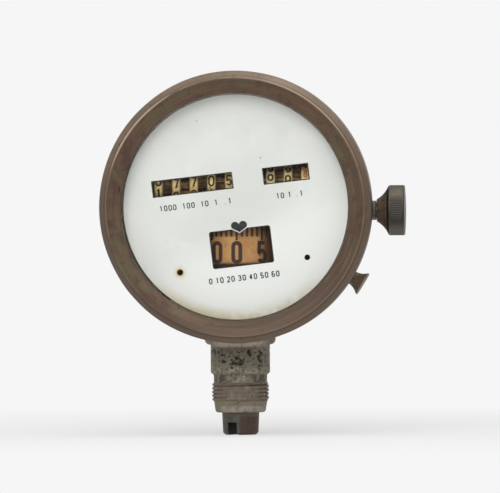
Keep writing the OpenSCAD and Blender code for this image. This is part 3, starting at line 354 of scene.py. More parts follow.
def clear_glass():
    """Flat drawn glass: it only shows as a faint sheen, and lets the room's light through to the dial."""
    look = Finish("flat_clear_glass", {"Base Color": linear("#FAFCFB"), "Roughness": 0.0, "IOR": 1.5,
                                       "Transmission Weight": 1.0})
    clear = add(look.tree, "BsdfTransparent").outputs["BSDF"]
    look.share_with(clear, any_ray(look.tree, "Is Shadow Ray", "Is Diffuse Ray", "Is Glossy Ray"))
    return look.material


def painted(name, ground, faded, dirt, rough):
    """Flat paint on light metal: faded in patches, dirty in the corners and slightly uneven."""
    look = Finish(name, {"IOR": 1.48, "Specular IOR Level": 0.3})
    look.coats(ground, (faded, look.patches(4, 0.4, 0.7)), (dirt, look.patches(1.6, 0.55, 0.78, 6.0)))
    look.grained(0.35, (rough - 0.08, rough + 0.08), 0.03)
    return look.material


def spacer_zinc():
    """Dull zinc round the dial: brown with dirt, and pale at the top in painted light."""
    look = Finish("dulled_spacer_zinc", {"IOR": 1.48, "Specular IOR Level": 0.3})
    look.coats(
        "#5F5446",
        ("#6B6052", look.patches(4, 0.4, 0.7)),
        ("#453C31", look.patches(1.6, 0.55, 0.78, 6.0)),
        # Painted light: pale at the top.
        ("#9C9087", look.where((look.z, 12, 28)), look.patches(2.2, 0.2, 0.55)))
    look.grained(0.35, (0.47, 0.63), 0.03)
    return look.material


def wheel_paint(name, ground, faded, grime_and_edge_tone, wheels_x):
    """Matt paint on a number wheel's band: yellowed, with brown dirt in patches, and darker brown toward the
    band's two edges.
    """
    look = Finish(name, {"IOR": 1.48, "Specular IOR Level": 0.25})
    half = (wheels_x[1] - wheels_x[0]) / 2
    along = add(look.tree, "Math", {"operation": "SUBTRACT", 1: wheels_x[0] - half}, {0: look.x}).outputs[0]
    from_gap = add(look.tree, "Math", {"operation": "PINGPONG", 1: half}, {0: along}).outputs[0]
    look.coats(
        ground,
        (faded, look.patches(3, 0.4, 0.66)),
        (grime_and_edge_tone, look.patches(1.2, 0.52, 0.72, 6.0)),
        # Darker brown toward the band's two edges.
        (grime_and_edge_tone, look.where((from_gap, half - 0.75, half - 1.6))))
    look.grained(0.35, (0.45, 0.62), 0.03)
    return look.material


def drum_paint():
    """Tan lacquer on thin aluminium: amber in the middle, painted shade at both sides, browned and in painted
    shade along the top, near black along its foot.
    """
    look = Finish("tan_drum_lacquer", {"IOR": 1.48, "Specular IOR Level": 0.25})
    look.coats(
        "#AC7E4C",
        ("#BC905B", look.patches(4, 0.4, 0.7)),
        ("#A8743F", look.patches(1.8, 0.55, 0.75, 6.0)),
        # Darker along the top: partly browned behind the marks, partly painted shade under the window's upper
        # edge.
        ("#91673B", look.where((look.z, -10.6, -9.0))),
        # Near black along the drum's foot.
        ("#2C1D11", look.where((look.z, -18.1, -19.3))),
        # Painted shade at both sides of the window's view.
        ("#5C4029", look.where((look.x, 6.6, 10.8))),
        ("#6B4A2B", look.where((look.x, -7.0, -9.8))))
    look.grained(0.35, (0.42, 0.58), 0.03)
    return look.material


def cut_metal(name, ground, light, tarnish, rough, metallic=1.0):
    """Turned or milled metal: fine tool marks, light patches and some tarnish."""
    look = Finish(name, {"Metallic": metallic})
    look.coats(ground, (light, look.patches(3, 0.4, 0.7)), (tarnish, look.patches(1.4, 0.56, 0.78, 6.0)))
    look.grained(0.3, (rough - 0.08, rough + 0.1), 0.02)
    return look.material


def pitted_stem():
    """Plated brass after years under a car: grey brown crust, black pits, verdigris and a scraped end."""
    look = Finish("pitted_plated_brass", {"Metallic": 0.25})
    x, height = look.x, look.z
    aside = add(look.tree, "Math", {"operation": "ABSOLUTE"}, {0: x}).outputs[0]
    pit, root, crust = [add(look.tree, "Attribute", {"attribute_name": name}).outputs["Fac"]
                        for name in ("pit", "root", "crust")]
    flange_foot = look.where((height, -47.4, -46.4), (aside, 10.5, 6.0))
    body = look.where((height, -57.0, -55.5), (height, -46.3, -47.3))
    body_foot = look.where((height, -53.2, -54.6), (height, -56.4, -55.8))
    relief = look.where((height, -59.2, -58.6), (height, -56.0, -56.6))
    scraped = look.where((aside, 5.5, 3.0))
    thread = look.where((height, -58.8, -59.6), (height, -65.6, -64.8))
    thread_foot = look.where((height, -64.6, -65.6), (x, -1.0, -4.0))
    end = look.where((height, -66.4, -67.2))
    look.coats(
        "#7F7464",
        ("#6B6454", look.patches(2.6, 0.45, 0.62)),
        ("#777561", body, look.patches(2.4, 0.4, 0.56)),
        ("#655C5C", body, look.patches(3.4, 0.53, 0.63)),
        ("#8D8373", look.patches(0.9, 0.56, 0.7, 5.0)),
        ("#49443A", look.patches(1.5, 0.55, 0.68, 5.0)),
        ("#948A79", body_foot, look.patches(2.2, 0.46, 0.58)),
        # Lighter flange front: partly light grey patches, partly painted light against the bezel's shadow.
        ("#B0A491", flange_foot, look.patches(1.8, 0.26, 0.5)),
        ("#45463A", relief, look.patches(2.2, 0.42, 0.54)),
        ("#9F9485", relief, scraped, look.patches(1.1, 0.48, 0.62)),
        ("#757150", thread_foot, look.patches(2.4, 0.4, 0.6)),
        ("#958C82", end, look.where((x, -7.5, -5.0)), look.patches(2.0, 0.32, 0.54)),
        ("#6A5D4E", thread, look.patches(1.7, 0.36, 0.58, 5.0)),
        ("#3D342A", root),
        ("#66634F", crust),
        ("#28241A", pit))
    look.grained(0.6, (0.5, 0.75), 0.2)
    return look.material


def rusted_tip():
    """Mild steel: grey and smooth on one side, red brown rust on the other."""
    look = Finish("rusted_mild_steel", {"Metallic": 0.45})
    rusty = look.where((look.x, -0.5, 0.5))
    look.coats(
        "#4A4642",
        ("#57524D", look.patches(2.2, 0.4, 0.65)),
        ("#48382F", rusty),
        ("#573F33", rusty, look.patches(1.1, 0.5, 0.7, 6.0)),
        ("#332B27", look.patches(0.8, 0.6, 0.75, 5.0)),
        ("#615B4C", look.where((look.z, -70.9, -69.5)), look.patches(1.4, 0.2, 0.5)))
    look.grained(0.5, (0.45, 0.7), 0.11)
    return look.material


def ink(name, ground, thin):
    """Printing ink: nearly flat, worn thin in spots."""
    look = Finish(name, {"Roughness": 0.6, "Specular IOR Level": 0.2})
    look.coats(ground, (thin, look.patches(0.7, 0.5, 0.75)))
    return look.material


finishes = {
    "bronze": bronze_patina(),
    "clear_glass": clear_glass(),
    "dark_lacquer": painted("dark_lacquer", "#2B2824", "#35322C", "#1F1C19", 0.5),
    "white_enamel": aged_enamel(),
    "brass_frame": cut_metal("tarnished_sheet_brass", "#7C6638", "#8E7645", "#4F4128", 0.42),
    "screw_steel": cut_metal("turned_screw_steel", "#7B7974", "#918E88", "#4D4841", 0.38),
    "stem_metal": pitted_stem(),
    "shaft_steel": cut_metal("ground_shaft_steel", "#8C8B89", "#A2A19E", "#605C56", 0.3),
    "tip_steel": rusted_tip(),
    "magnet_steel": cut_metal("cast_magnet_steel", "#45454A", "#55555A", "#2F2D2C", 0.5, 0.8),
    "gear_brass": cut_metal("cut_gear_brass", "#A5853F", "#B9984F", "#6B5529", 0.35),
    "jewel": painted("polished_red_jewel", "#7A1F2B", "#8E2A36", "#5A141F", 0.15),
    "drum_aluminium": drum_paint(),
    "spring_steel": cut_metal("blued_spring_steel", "#3F4A5E", "#52617A", "#39363A", 0.32),
    "cream_wheel": wheel_paint("cream_season_paint", "#DDBE7A", "#EBD6A0", "#74592F", SEASON_X),
    "orange_wheel": wheel_paint("orange_wheel_paint", "#FCD2A2", "#FFE2BC", "#E2B27A", TRIP_X),
    "knob_bronze": worn_knob_bronze(),
}
trip_cream = wheel_paint("cream_trip_paint", "#F5E0A4", "#F9EABC", "#B2965E", TRIP_X)
button_bronze = worn_button_bronze()
spacer_metal = spacer_zinc()
slot_grease = painted("dried_black_grease", "#16120F", "#1E1814", "#0E0B09", 0.6)
# Browned brass on the wheels' bosses: its golden patches are partly the brass's own tone and partly painted
# glints on the teeth.
wheel_boss = cut_metal("browned_wheel_brass", "#4E3C26", "#9C7A42", "#1D160D", 0.5, 0.5)
dial_edge = painted("bare_dial_edge", "#2B251D", "#3A3328", "#1A1611", 0.6)
wheel_ink = ink("brown_wheel_ink", "#453417", "#5C4823")
orange_wheel_ink = ink("red_brown_wheel_ink", "#C2854A", "#D6A066")
drum_ink = ink("brown_drum_ink", "#3D2C25", "#544036")
dial_ink = ink("grey_dial_ink", "#2C2E2D", "#434644")


# Shapes: small helpers

def make_piece(name, points, faces, material, body, sharp=35):
    """A mesh piece from points in millimetres, smooth up to the sharp angle, riding on a body."""
    mesh = bpy.data.meshes.new(name)
    mesh.from_pydata([[c * MM for c in p] for p in points], [], faces)
    tidy = bmesh.new()
    tidy.from_mesh(mesh)
    bmesh.ops.recalc_face_normals(tidy, faces=tidy.faces)
    tidy.to_mesh(mesh)
    tidy.free()
    mesh.polygons.foreach_set("use_smooth", [True] * len(mesh.polygons))
    mesh.set_sharp_from_angle(angle=math.radians(sharp))
    mesh.materials.append(material)
    piece = bpy.data.objects.new(name, mesh)
    bpy.context.scene.collection.objects.link(piece)
    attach(piece, body)
    return piece


def arc(centre, across, up, start, end, steps=10):
    """Points on an ellipse from one angle to another, in degrees."""
    turns = [math.radians(start + (end - start) * i / steps) for i in range(steps + 1)]
    return [(centre[0] + across * math.cos(t), centre[1] + up * math.sin(t)) for t in turns]


def rounded(corners, steps=6):
    """An outline of (x, y, radius) corners with each corner rounded by its radius."""
    out = []
    count = len(corners)
    for i, (x, y, radius) in enumerate(corners):
        here = Vector((x, y))
        if radius <= 0:
            out.append((x, y))
            continue
        back = (Vector(corners[i - 1][:2]) - here).normalized()
        on = (Vector(corners[(i + 1) % count][:2]) - here).normalized()
        half = back.angle(on) / 2
        reach = radius / math.tan(half)
        centre = here + (back + on).normalized() * (radius / math.sin(half))
        start, end = here + back * reach - centre, here + on * reach - centre
        first = math.atan2(start.y, start.x)
        turn = math.atan2(start.x * end.y - start.y * end.x, start.dot(end))
        for k in range(steps + 1):
            angle = first + turn * k / steps
            out.append((centre.x + radius * math.cos(angle), centre.y + radius * math.sin(angle)))
    return out


def refined(outline, longest, closed=True):
    """The same outline with no edge longer than longest."""
    out = []
    ends = outline[1:] + outline[:1] if closed else outline[1:]
    for a, b in zip(outline, ends):
        parts = max(1, math.ceil(math.dist(a, b) / longest))
        out += [(a[0] + (b[0] - a[0]) * k / parts, a[1] + (b[1] - a[1]) * k / parts) for k in range(parts)]
    return out if closed else out + [outline[-1]]


def cove(a, b, sag, steps=14):
    """Points on a hollow arc from a to b, sag deep on the left of the way from a to b."""
    a, b = Vector(a), Vector(b)
    way = b - a
    normal = Vector((-way.y, way.x)).normalized()
    radius = way.length ** 2 / (8 * sag) + sag / 2
    centre = (a + b) / 2 - normal * (radius - sag)
    start = math.atan2(a.y - centre.y, a.x - centre.x)
    turn = -2 * math.asin(way.length / 2 / radius) / steps
    return [(centre.x + radius * math.cos(start + turn * k), centre.y + radius * math.sin(start + turn * k))
            for k in range(steps + 1)]


def swept(outline, place, turns, shape, closed):
    """An outline of (radius, height) swept round an axis. Shape may change each radius."""
    count = len(outline)
    points, faces = [], []
    for j in range(turns):
        k = (j + 1) % turns
        angle = 2 * math.pi * j / turns
        for radius, height in outline:
            points.append(place(radius + (shape(radius, height, angle) if shape else 0), height, angle))
        for i in range(count if closed else count - 1):
            m = (i + 1) % count
            faces.append((j * count + i, j * count + m, k * count + m, k * count + i))
    return points, faces


def ring(outline, place, turns, shape=None):
    """A closed ring, from a closed outline."""
    return swept(outline, place, turns, shape, closed=True)


def turned(outline, place, turns, shape=None):
    """A turned solid: an open outline that starts and ends on the axis."""
    inner = outline[1:-1]
    count = len(inner)
    points, faces = swept(inner, place, turns, shape, closed=False)
    start, end = len(points), len(points) + 1
    points += [place(0, outline[0][1], 0), place(0, outline[-1][1], 0)]
    for j in range(turns):
        k = (j + 1) % turns
        faces.append((start, j * count, k * count))
        faces.append((end, j * count + count - 1, k * count + count - 1))
    return points, faces


def step(value, low, high):
    """A smooth step from 0 at low to 1 at high."""
    t = min(1.0, max(0.0, (value - low) / (high - low)))
    return t * t * (3 - 2 * t)


# Numbers: strokes drawn as thin closed ribbons of ink

def strokes_of(sign, width, height):
    """Centre lines of a plain number, as (points, closed), inside width by height round the origin."""
    r, top, low = width / 2, height / 2, -height / 2
    six = [(arc((0, low + 0.28 * height), r, 0.28 * height, 0, 360, 22)[:-1], True),
           (arc((0, top - r), r, r, 35, 180) + [(-r, low + 0.28 * height)], False)]
    return {
        "0": [(arc((0, top - r), r, r, 0, 180, 12) + arc((0, low + r), r, r, 180, 360, 12), True)],
        "1": [([(-0.55 * r, top - 0.7 * r), (0.1 * r, top), (0.1 * r, low)], False)],
        "2": [(arc((0, top - r), r, r, 170, -30, 12) + [(-r, low), (r, low)], False)],
        "3": [(arc((0, top - height / 4), 0.92 * r, height / 4, 155, -85, 14)
               + arc((0, low + height / 4), r, height / 4, 85, -155, 14), False)],
        "4": [([(0.45 * r, low), (0.45 * r, top)], False), ([(0.45 * r, top), (-r, -0.2 * height)], False),
              ([(-r, -0.2 * height), (r, -0.2 * height)], False)],
        "5": [([(0.85 * r, top), (-0.8 * r, top), (-0.9 * r, 0.02 * height)]
               + arc((0, low + 0.29 * height), r, 0.29 * height, 140, -150, 18), False)],
        "6": six,
        "7": [([(-r, top), (r, top), (-0.15 * r, low)], False)],
        "8": [(arc((0, top - 0.235 * height), 0.88 * r, 0.235 * height, 0, 360, 20)[:-1], True),
              (arc((0, low + 0.265 * height), r, 0.265 * height, 0, 360, 20)[:-1], True)],
        "9": [([(-x, -y) for x, y in points], closed) for points, closed in six],
        ".": [([(-0.12 * width, low), (0.12 * width, low)], False)],
    }[sign]


class Ink:
    """Gathers ribbons of ink, each a thin closed solid laid on a surface, into one piece."""

    def __init__(self):
        self.points, self.faces = [], []

    def stroke(self, line, closed, width, lay):
        """A ribbon of one width along a line, mitred at its bends."""
        line = refined(line, 0.35, closed)
        count = len(line)
        edges = []
        for i, here in enumerate(line):
            here = Vector(here)
            back = Vector(line[i - 1]) if closed or i else None
            on = Vector(line[(i + 1) % count]) if closed or i < count - 1 else None
            ways = [w.normalized() for w in (here - back if back else None, on - here if on else None)
                    if w is not None and w.length > 1e-9]
            way = sum(ways, Vector((0, 0)))
            way = way.normalized() if way.length > 1e-6 else ways[0]
            stretch = 1 / max(0.62, abs(way.dot(ways[0])))
            side = Vector((-way.y, way.x)) * (width / 2 * stretch)
            edges.append((here + side, here - side))
        base = len(self.points)
        for left, right in edges:
            for p, lift in ((left, INK_LIFT), (right, INK_LIFT), (right, -INK_SUNK), (left, -INK_SUNK)):
                self.points.append(lay(p.x, p.y, lift))
        spans = count if closed else count - 1
        for i in range(spans):
            a, b = base + 4 * i, base + 4 * ((i + 1) % count)
            for k in range(4):
                m = (k + 1) % 4
                self.faces.append((a + k, a + m, b + m, b + k))
        if not closed:
            last = base + 4 * (count - 1)
            self.faces += [(base, base + 3, base + 2, base + 1), (last, last + 1, last + 2, last + 3)]

    def number(self, sign, centre, width, height, line, lay):
        """One plain number round a centre."""
        for points, closed in strokes_of(sign, width - line, height - line):
            self.stroke([(x + centre[0], y + centre[1]) for x, y in points], closed, line, lay)

    def sheet(self, outline, lay):
        """A filled shape inside an outline."""
        base, count = len(self.points), len(outline)
        for lift in (INK_LIFT, -INK_SUNK):
            self.points += [lay(x, y, lift) for x, y in outline]
        self.faces.append(tuple(base + i for i in range(count)))
        self.faces.append(tuple(base + count + i for i in reversed(range(count))))
        for i in range(count):
            m = (i + 1) % count
            self.faces.append((base + i, base + count + i, base + count + m, base + m))


# CAD nodes take the finish of their slot

for part in frame["record"]["subparts"]:
    mesh = frame["nodes"][part["node"]].data
    mesh.materials.clear()
    mesh.materials.append(finishes[part["material_slot"]])


def second_finish(node, material, is_other):
    """Gives another finish to the faces of a CAD node that is_other picks by centre, in mm, and normal."""
    mesh = frame["nodes"][node].data
    mesh.materials.append(material)
    for face in mesh.polygons:
        if is_other(face.center / MM, face.normal):
            face.material_index = 1


def off_band(x, band_r):
    """Picks a wheel's faces other than its numbered band."""
    return lambda c, n: not (abs(c.x - x) < BAND_W / 2 - 0.01 and abs(n.x) < 0.3 and
                             math.hypot(c.y + TRAIN_DEPTH, c.z - REGISTER_Z) > band_r - 0.2)


def in_tip_slot(centre, normal):
    """True for the faces inside the slot across the drive tip."""
    across = centre.x * math.cos(TIP_SLOT_TURN) - (centre.y + AXIS_DEPTH) * math.sin(TIP_SLOT_TURN)
    return abs(across) < TIP_SLOT_W / 2 + SLACK and centre.z < TIP_BOTTOM + TIP_SLOT_L + SLACK


# Sharp edges that are broken by a width in millimetres, so that they catch the light
for node, width in (("drive_tip", 0.3), ("movement_screws", 0.15), ("button_bush", 0.1)):
    edge = frame["nodes"][node].modifiers.new("soft_edges", "BEVEL")
    edge.width = width * MM
    edge.segments = 2
    edge.limit_method = "ANGLE"
    edge.angle_limit = math.radians(40)
for node, material in (("dial_ring", spacer_metal), ("trip_wheel_1", trip_cream),
                       ("trip_wheel_2", trip_cream)):
    frame["nodes"][node].data.materials[0] = material
second_finish("drive_tip", slot_grease, in_tip_slot)
for wheels, wheels_x, band_r in (("season_wheel", SEASON_X, SEASON_R), ("trip_wheel", TRIP_X, TRIP_R)):
    for i, x in enumerate(wheels_x):
        second_finish(f"{wheels}_{i + 1}", wheel_boss, off_band(x, band_r))
second_finish("dial", dial_edge, lambda c, n: abs(n.y) < 0.7)


# Bezel: skirt, rounded band, bright ridge, hollow cove and a beaded lip

# Corners of its section: radius, depth and rounding
BEZEL_SECTION = [
    (45.4, 39.2, 0.5), (45.4, 50.8, 1.1), (43.3, 52.95, 0.25), (42.75, 52.85, 0.25), (41.6, 52.35, 1.5),
    (40.2, 51.95, 4.0), (38.1, 51.6, 0.55), (38.1, 49.25, 0), (43.05, 49.25, 0), (43.05, 39.2, 0.2)]
# Shallow knocks, outside this radius and in front of this depth: heading, amount and half width as an angle
KNOCKED_FROM = 40
random.seed(5)
knocks = [(random.uniform(0, 2 * math.pi), random.uniform(-0.05, 0.05), random.uniform(0.05, 0.3))
          for _ in range(24)]


def bezel_wear(radius, depth, angle):
    """The knocks, which leave the ring a little out of round."""
    if radius < KNOCKED_FROM or depth < KNOCKED_FROM:
        return 0
    return sum(amount * math.exp(-(((angle - at + math.pi) % (2 * math.pi) - math.pi) / width) ** 2)
               for at, amount, width in knocks)


points, faces = ring(refined(rounded(BEZEL_SECTION), longest=0.8), about_dial, turns=360, shape=bezel_wear)
bezel = make_piece("bezel_ring", points, faces, finishes["bronze"], "base", sharp=50)
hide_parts("bezel")


# Stem: flange, pitted body, relief, helical thread and tapered end

# Corners of its section: radius, height and rounding
STEM_SECTION = [
    (11.9, -44.0, 0.2), (11.9, -46.3, 1.7), (9.95, -46.3, 0.2), (9.95, -55.6, 0.3), (8.95, -56.5, 0.4),
    (8.9, -65.5, 0.4), (8.35, -69.05, 0.9), (6.0, -69.05, 0.2), (6.0, -35.5, 0), (7.4, -35.5, 0),
    (7.4, -44.0, 0)]
STEM_TURNS = 240
BODY_R = 9.95
BODY_TOP = -46.7
# Radii between which the thread lies, and then the body, which ends under the flange
THREAD_FROM, BODY_FROM, FLANGE_FROM = 8.5, 9.5, 11
PIT_DEPTH = 0.35
THREAD_START, THREAD_END, THREAD_PITCH, THREAD_CREST = -58.9, -65.4, 1.27, 0.63
# Fields of pits on the front of the stem's body: across, height, half width and half height
PIT_FIELDS = ((-0.3, -51.5, 2.8, 2.6), (-7.4, -48.8, 1.6, 1.3), (3.9, -49.0, 1.0, 1.7),
              (7.0, -50.0, 0.9, 2.8), (-5.4, -52.0, 1.1, 1.2), (-3.0, -53.8, 1.5, 0.7),
              (0.0, -54.8, 0.4, 0.7))


def on_body(radius, height):
    """True on the stem's thick body, under its flange."""
    return BODY_FROM < radius < FLANGE_FROM and height < BODY_TOP


def pit_depth(height, angle, spread=0.74, soft=0.35):
    """How deep a spot of the body is eaten away, 0 to 1: ragged pits, thickest in the middle of a field."""
    spot = Vector((BODY_R * math.cos(angle), BODY_R * math.sin(angle), height))
    front = max(math.exp(-((spot.x - x) / across) ** 2 - ((height - z) / up) ** 2)
                for x, z, across, up in PIT_FIELDS)
    behind = 0.8 * step(noise.noise(spot / 4.2 + Vector((3, 1, 8))), -0.35, 0.05)
    facing = step(-math.sin(angle), -0.15, 0.15)
    field = front * facing + behind * (1 - facing)
    inside = step(height, -55.6, -54.8) * step(-height, 46.9, 47.6)
    return inside * step(field + 1.4 * noise.fractal(spot / 1.0, 0.85, 2.1, 4) - spread, 0.0, soft)


def thread_rise(height, angle):
    """Height of the right-handed thread over its root, 0 to 1, with flat crests worn most in front."""
    if not THREAD_END < height < THREAD_START:
        return 0
    turn = (height / THREAD_PITCH - angle / (2 * math.pi)) % 1.0
    fade = min(1, (THREAD_START - height) / 0.7, (height - THREAD_END) / 0.7)
    groove = 1 - step(0.5 - abs(turn - 0.5), 0.02, 0.2)
    filled = 0.75 * step(-math.sin(angle), 0.3, 0.95) * step(THREAD_START - height, 1.0, 1.6)
    spot = Vector((9 * math.cos(angle), 9 * math.sin(angle), height))
    worn = min(1.0, 0.9 + 0.3 * noise.noise(spot / 2.2))
    return fade * worn * (1 - groove * (1 - filled))


def stem_surface(radius, height, angle):
    """What pits take off the body, and the thread adds below it."""
    if on_body(radius, height):
        return -PIT_DEPTH * pit_depth(height, angle)
    if THREAD_FROM <= radius <= BODY_FROM and height <= BODY_TOP:
        return THREAD_CREST * thread_rise(height, angle)
    return 0


def stem_shades(radius, height, angle):
    """What the stem's finish reads at a point: its pits, the crust round them and the darkening in the
    thread's roots.
    """
    pit = crust = root = 0.0
    if on_body(radius, height):
        pit = pit_depth(height, angle)
        crust = 0.6 * pit_depth(height, angle, 0.35, 0.6)
    if radius > THREAD_FROM and THREAD_END + 0.3 < height < THREAD_START - 0.3:
        root = 0.33 * step(0.7 - thread_rise(height, angle), 0.0, 0.5)
    return pit, crust, root


outline = refined(rounded(STEM_SECTION, steps=5), longest=0.14)
points, faces = ring(outline, about_stem, turns=STEM_TURNS, shape=stem_surface)
stem = make_piece("threaded_stem", points, faces, finishes["stem_metal"], "base", sharp=60)
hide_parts("stem")
shades = [stem_shades(radius, height, 2 * math.pi * j / STEM_TURNS)
          for j in range(STEM_TURNS) for radius, height in outline]
for name, values in zip(("pit", "crust", "root"), zip(*shades)):
    stem.data.attributes.new(name, "FLOAT", "POINT").data.foreach_set("value", values)


# Knob: hollow flare, fine straight knurl on the rim and a slightly domed face

KNURL_START, KNURL_END, KNURL_COUNT, KNURL_DEPTH = 51.4, 55.6, 88, 0.13


def knob_outline():
    flare = cove((3.8, 46.75), (7.75, 50.35), 0.42)
    rim = arc((7.6, 51.15), 0.8, 0.8, -80, 0, 7) + arc((7.95, 55.6), 0.45, 0.45, 0, 90, 6)
    face = [(6.0, 56.2), (4.0, 56.3), (2.0, 56.36), (0, 56.38)]
    return [(0, 46.7), (1.6, 46.7), (3.7, 46.7)] + refined(flare + rim, 0.3, False) + face


def knurl(radius, x, angle):
    if radius < 8.3 or not KNURL_START < x < KNURL_END:
        return 0
    return -KNURL_DEPTH * (0.5 - 0.5 * math.cos(KNURL_COUNT * angle))


points, faces = turned(knob_outline(), about_knob, turns=6 * KNURL_COUNT, shape=knurl)
knob = make_piece("knurled_knob", points, faces, finishes["knob_bronze"], "knob", sharp=45)
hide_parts("reset_knob")


# Neck of the knob: a bush with fine ridges where it shows outside the bezel

RIDGES_START, RIDGES_END, RIDGE_PITCH, RIDGE_DEPTH = 44.3, 46.35, 0.41, 0.13


def neck_outline():
    (start, _, _), (end, _, _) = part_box("knob_bush")
    start, end = start / MM, end / MM
    return rounded([(NECK_R, start, 0.1), (NECK_R, end, 0.1), (NECK_BORE, end, 0), (NECK_BORE, start, 0)])


def neck_ridges(radius, x, angle):
    if radius < NECK_R - 0.05 or not RIDGES_START < x < RIDGES_END:
        return 0
    return -RIDGE_DEPTH * (0.5 - 0.5 * math.cos(2 * math.pi * (x - RIDGES_START) / RIDGE_PITCH))


points, faces = ring(refined(neck_outline(), longest=0.05), about_knob, turns=96, shape=neck_ridges)
neck = make_piece("ridged_neck", points, faces, finishes["knob_bronze"], "base", sharp=40)
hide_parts("knob_bush")


# Pull button: thin rod with a trumpet end

def button_outline():
    rod = [(0, 32.2), (2.1, 32.2), (2.1, 33.4), (1.2, 33.4), (1.2, 44.8)]
    trumpet = cove((2.3, 44.85), (3.95, 48.85), 0.4)
    lip = arc((3.65, 49.1), 0.4, 0.4, -20, 90, 6) + [(2.6, 49.5), (1.2, 49.45), (0, 49.4)]
    return rod + [(2.1, 44.8)] + trumpet + lip


points, faces = turned(button_outline(), about_button, turns=96)
button = make_piece("trumpet_button", points, faces, button_bronze, "button", sharp=40)
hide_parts("pull_button")


# Button spring: wound round the rod between its collar and the bush, at rest. A pull on the button would
# press it together; this piece keeps its rest shape.

SPRING = {"radius": 1.77, "wire": 0.22, "start": 33.55, "end": 39.25, "turns": 5}


def wound_wire(radius, wire, start, end, turns, steps=28, around=10):
    """A wire of round section wound about the button's axis, from start to end along it."""
    points, faces = [], []
    count = turns * steps
    for i in range(count + 1):
        reach = start + wire + (end - start - 2 * wire) * i / count
        for k in range(around):
            side = 2 * math.pi * k / around
            points.append(about_button(radius + wire * math.cos(side), reach + wire * math.sin(side),
                                       2 * math.pi * i / steps))
    for i in range(count):
        for k in range(around):
            m = (k + 1) % around
            faces.append((i * around + k, i * around + m, (i + 1) * around + m, (i + 1) * around + k))
    faces += [tuple(range(around)), tuple(count * around + k for k in reversed(range(around)))]
    return points, faces


points, faces = wound_wire(**SPRING)
spring = make_piece("wound_spring", points, faces, finishes["spring_steel"], "base")
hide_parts("button_spring")
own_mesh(spring)


# Numbers on the register wheels. A wheel's reading is the number, with its part, that faces forward.

WHEEL_LINE = 0.6


def wheel_numbers(register, wheel, x, radius, reading, size, material):
    """The ten numbers round one wheel's band."""
    band = Ink()
    for digit in range(10):
        at = math.radians(36 * (reading - digit))
        band.number(str(digit), (0, 0), *size, WHEEL_LINE, lambda u, v, lift: (
            x + u, -TRAIN_DEPTH - (radius + lift) * math.cos(at + v / radius),
            REGISTER_Z + (radius + lift) * math.sin(at + v / radius)))
    make_piece(f"{register}_numbers_{wheel}", band.points, band.faces, material,
               f"{register}_wheel_{wheel}")


for i, (x, reading) in enumerate(zip(SEASON_X, (0.07, 6.84, 6.98, 0.05, 5.1))):
    wheel_numbers("season", i + 1, x, SEASON_R, reading, (2.15, 3.6), wheel_ink)
for i, (x, reading, size, material, slot) in enumerate((
        (TRIP_X[0], 0.38, (2.1, 2.5), wheel_ink, "cream_wheel"),
        (TRIP_X[1], 0.26, (2.1, 2.5), wheel_ink, "cream_wheel"),
        (TRIP_X[2], 8.77, (1.5, 2.9), orange_wheel_ink, "orange_wheel"))):
    wheel_numbers("trip", i + 1, x, TRIP_R, reading, size, material)


# Speed drum: 65 divisions with a number at every fifth up to 60

DIVISIONS = 65
DRUM_ZERO = math.radians(0.5)
MARK_W = 0.75
LONG_MARK, SHORT_MARK = -11.1, -9.9
DRUM_NUMBER = {"width": 3.67, "height": 7.6, "line": 1.3}
DRUM_NUMBER_Z = -15.15
DRUM_NUMBER_STEP = 4.0
scale = Ink()


def on_drum(at):
    return lambda u, v, lift: ((DRUM_R + lift) * math.sin(at + u / DRUM_R),
                               -AXIS_DEPTH - (DRUM_R + lift) * math.cos(at + u / DRUM_R), v)


for division in range(DIVISIONS):
    lay = on_drum(DRUM_ZERO + 2 * math.pi * division / DIVISIONS)
    numbered = division % 5 == 0
    scale.stroke([(0, DRUM_TOP - 0.15), (0, LONG_MARK if numbered else SHORT_MARK)], False, MARK_W, lay)
    if numbered:
        signs = str(division)
        for k, sign in enumerate(signs):
            across = (k - (len(signs) - 1) / 2) * DRUM_NUMBER_STEP
            scale.number(sign, (across, DRUM_NUMBER_Z), lay=lay, **DRUM_NUMBER)
make_piece("drum_scale", scale.points, scale.faces, drum_ink, "drum")


# Dial print: an index over the speed window, and plain numbers for the place of each wheel and the scale

NUMBER_W = 1.15
NUMBER_STEP = NUMBER_W * 1.32
# Rows of numbers: the numbers, centre, gap between them, height and line
NUMBER_ROWS = ((("1000", "100", "10", "1", ".1"), (-13.6, 2.1), 1.6, 1.95, 0.32),
               (("10", "1", ".1"), (18.0, 1.8), 0.9, 1.95, 0.32),
               (("0", "10", "20", "30", "40", "50", "60"), (-0.3, -23.9), 0.72, 2.0, 0.34))
# Chips in the enamel: across, height, width and length
CHIPS = ((9.75, 15.1, 0.22, 0.8), (-9.9, 29.8, 0.3, 0.35), (-20.6, -17.4, 0.18, 0.2),
         (27.9, -3.1, 0.2, 0.25), (4.2, 31.0, 0.2, 0.2))
INDEX_POINT = (0.0, -8.68)
# The dark strip round the windows' edges, and where that of the speed window stops on each side of the index
EDGE_W = 0.4
EDGE_SUNK = 0.35
EDGE_STOP = (2.3, -7.65)
CORNER_STEPS = 4


def row_of_numbers(print_ink, numbers, centre, gap, height, line):
    """Plain numbers in one row, round a centre."""
    x = centre[0] - (sum(len(n) * NUMBER_STEP for n in numbers) + gap * (len(numbers) - 1)) / 2
    for number in numbers:
        for sign in number:
            print_ink.number(sign, (x + NUMBER_STEP / 2, centre[1]), NUMBER_W, height, line, on_dial)
            x += NUMBER_STEP
        x += gap


def oblong(centre, width, height, radius):
    """An outline with round corners, from the lower left, against the clock."""
    x, z = width / 2, height / 2
    corners = [(-x, -z), (x, -z), (x, z), (-x, z)]
    return rounded([(centre[0] + dx, centre[1] + dz, radius) for dx, dz in corners], CORNER_STEPS)


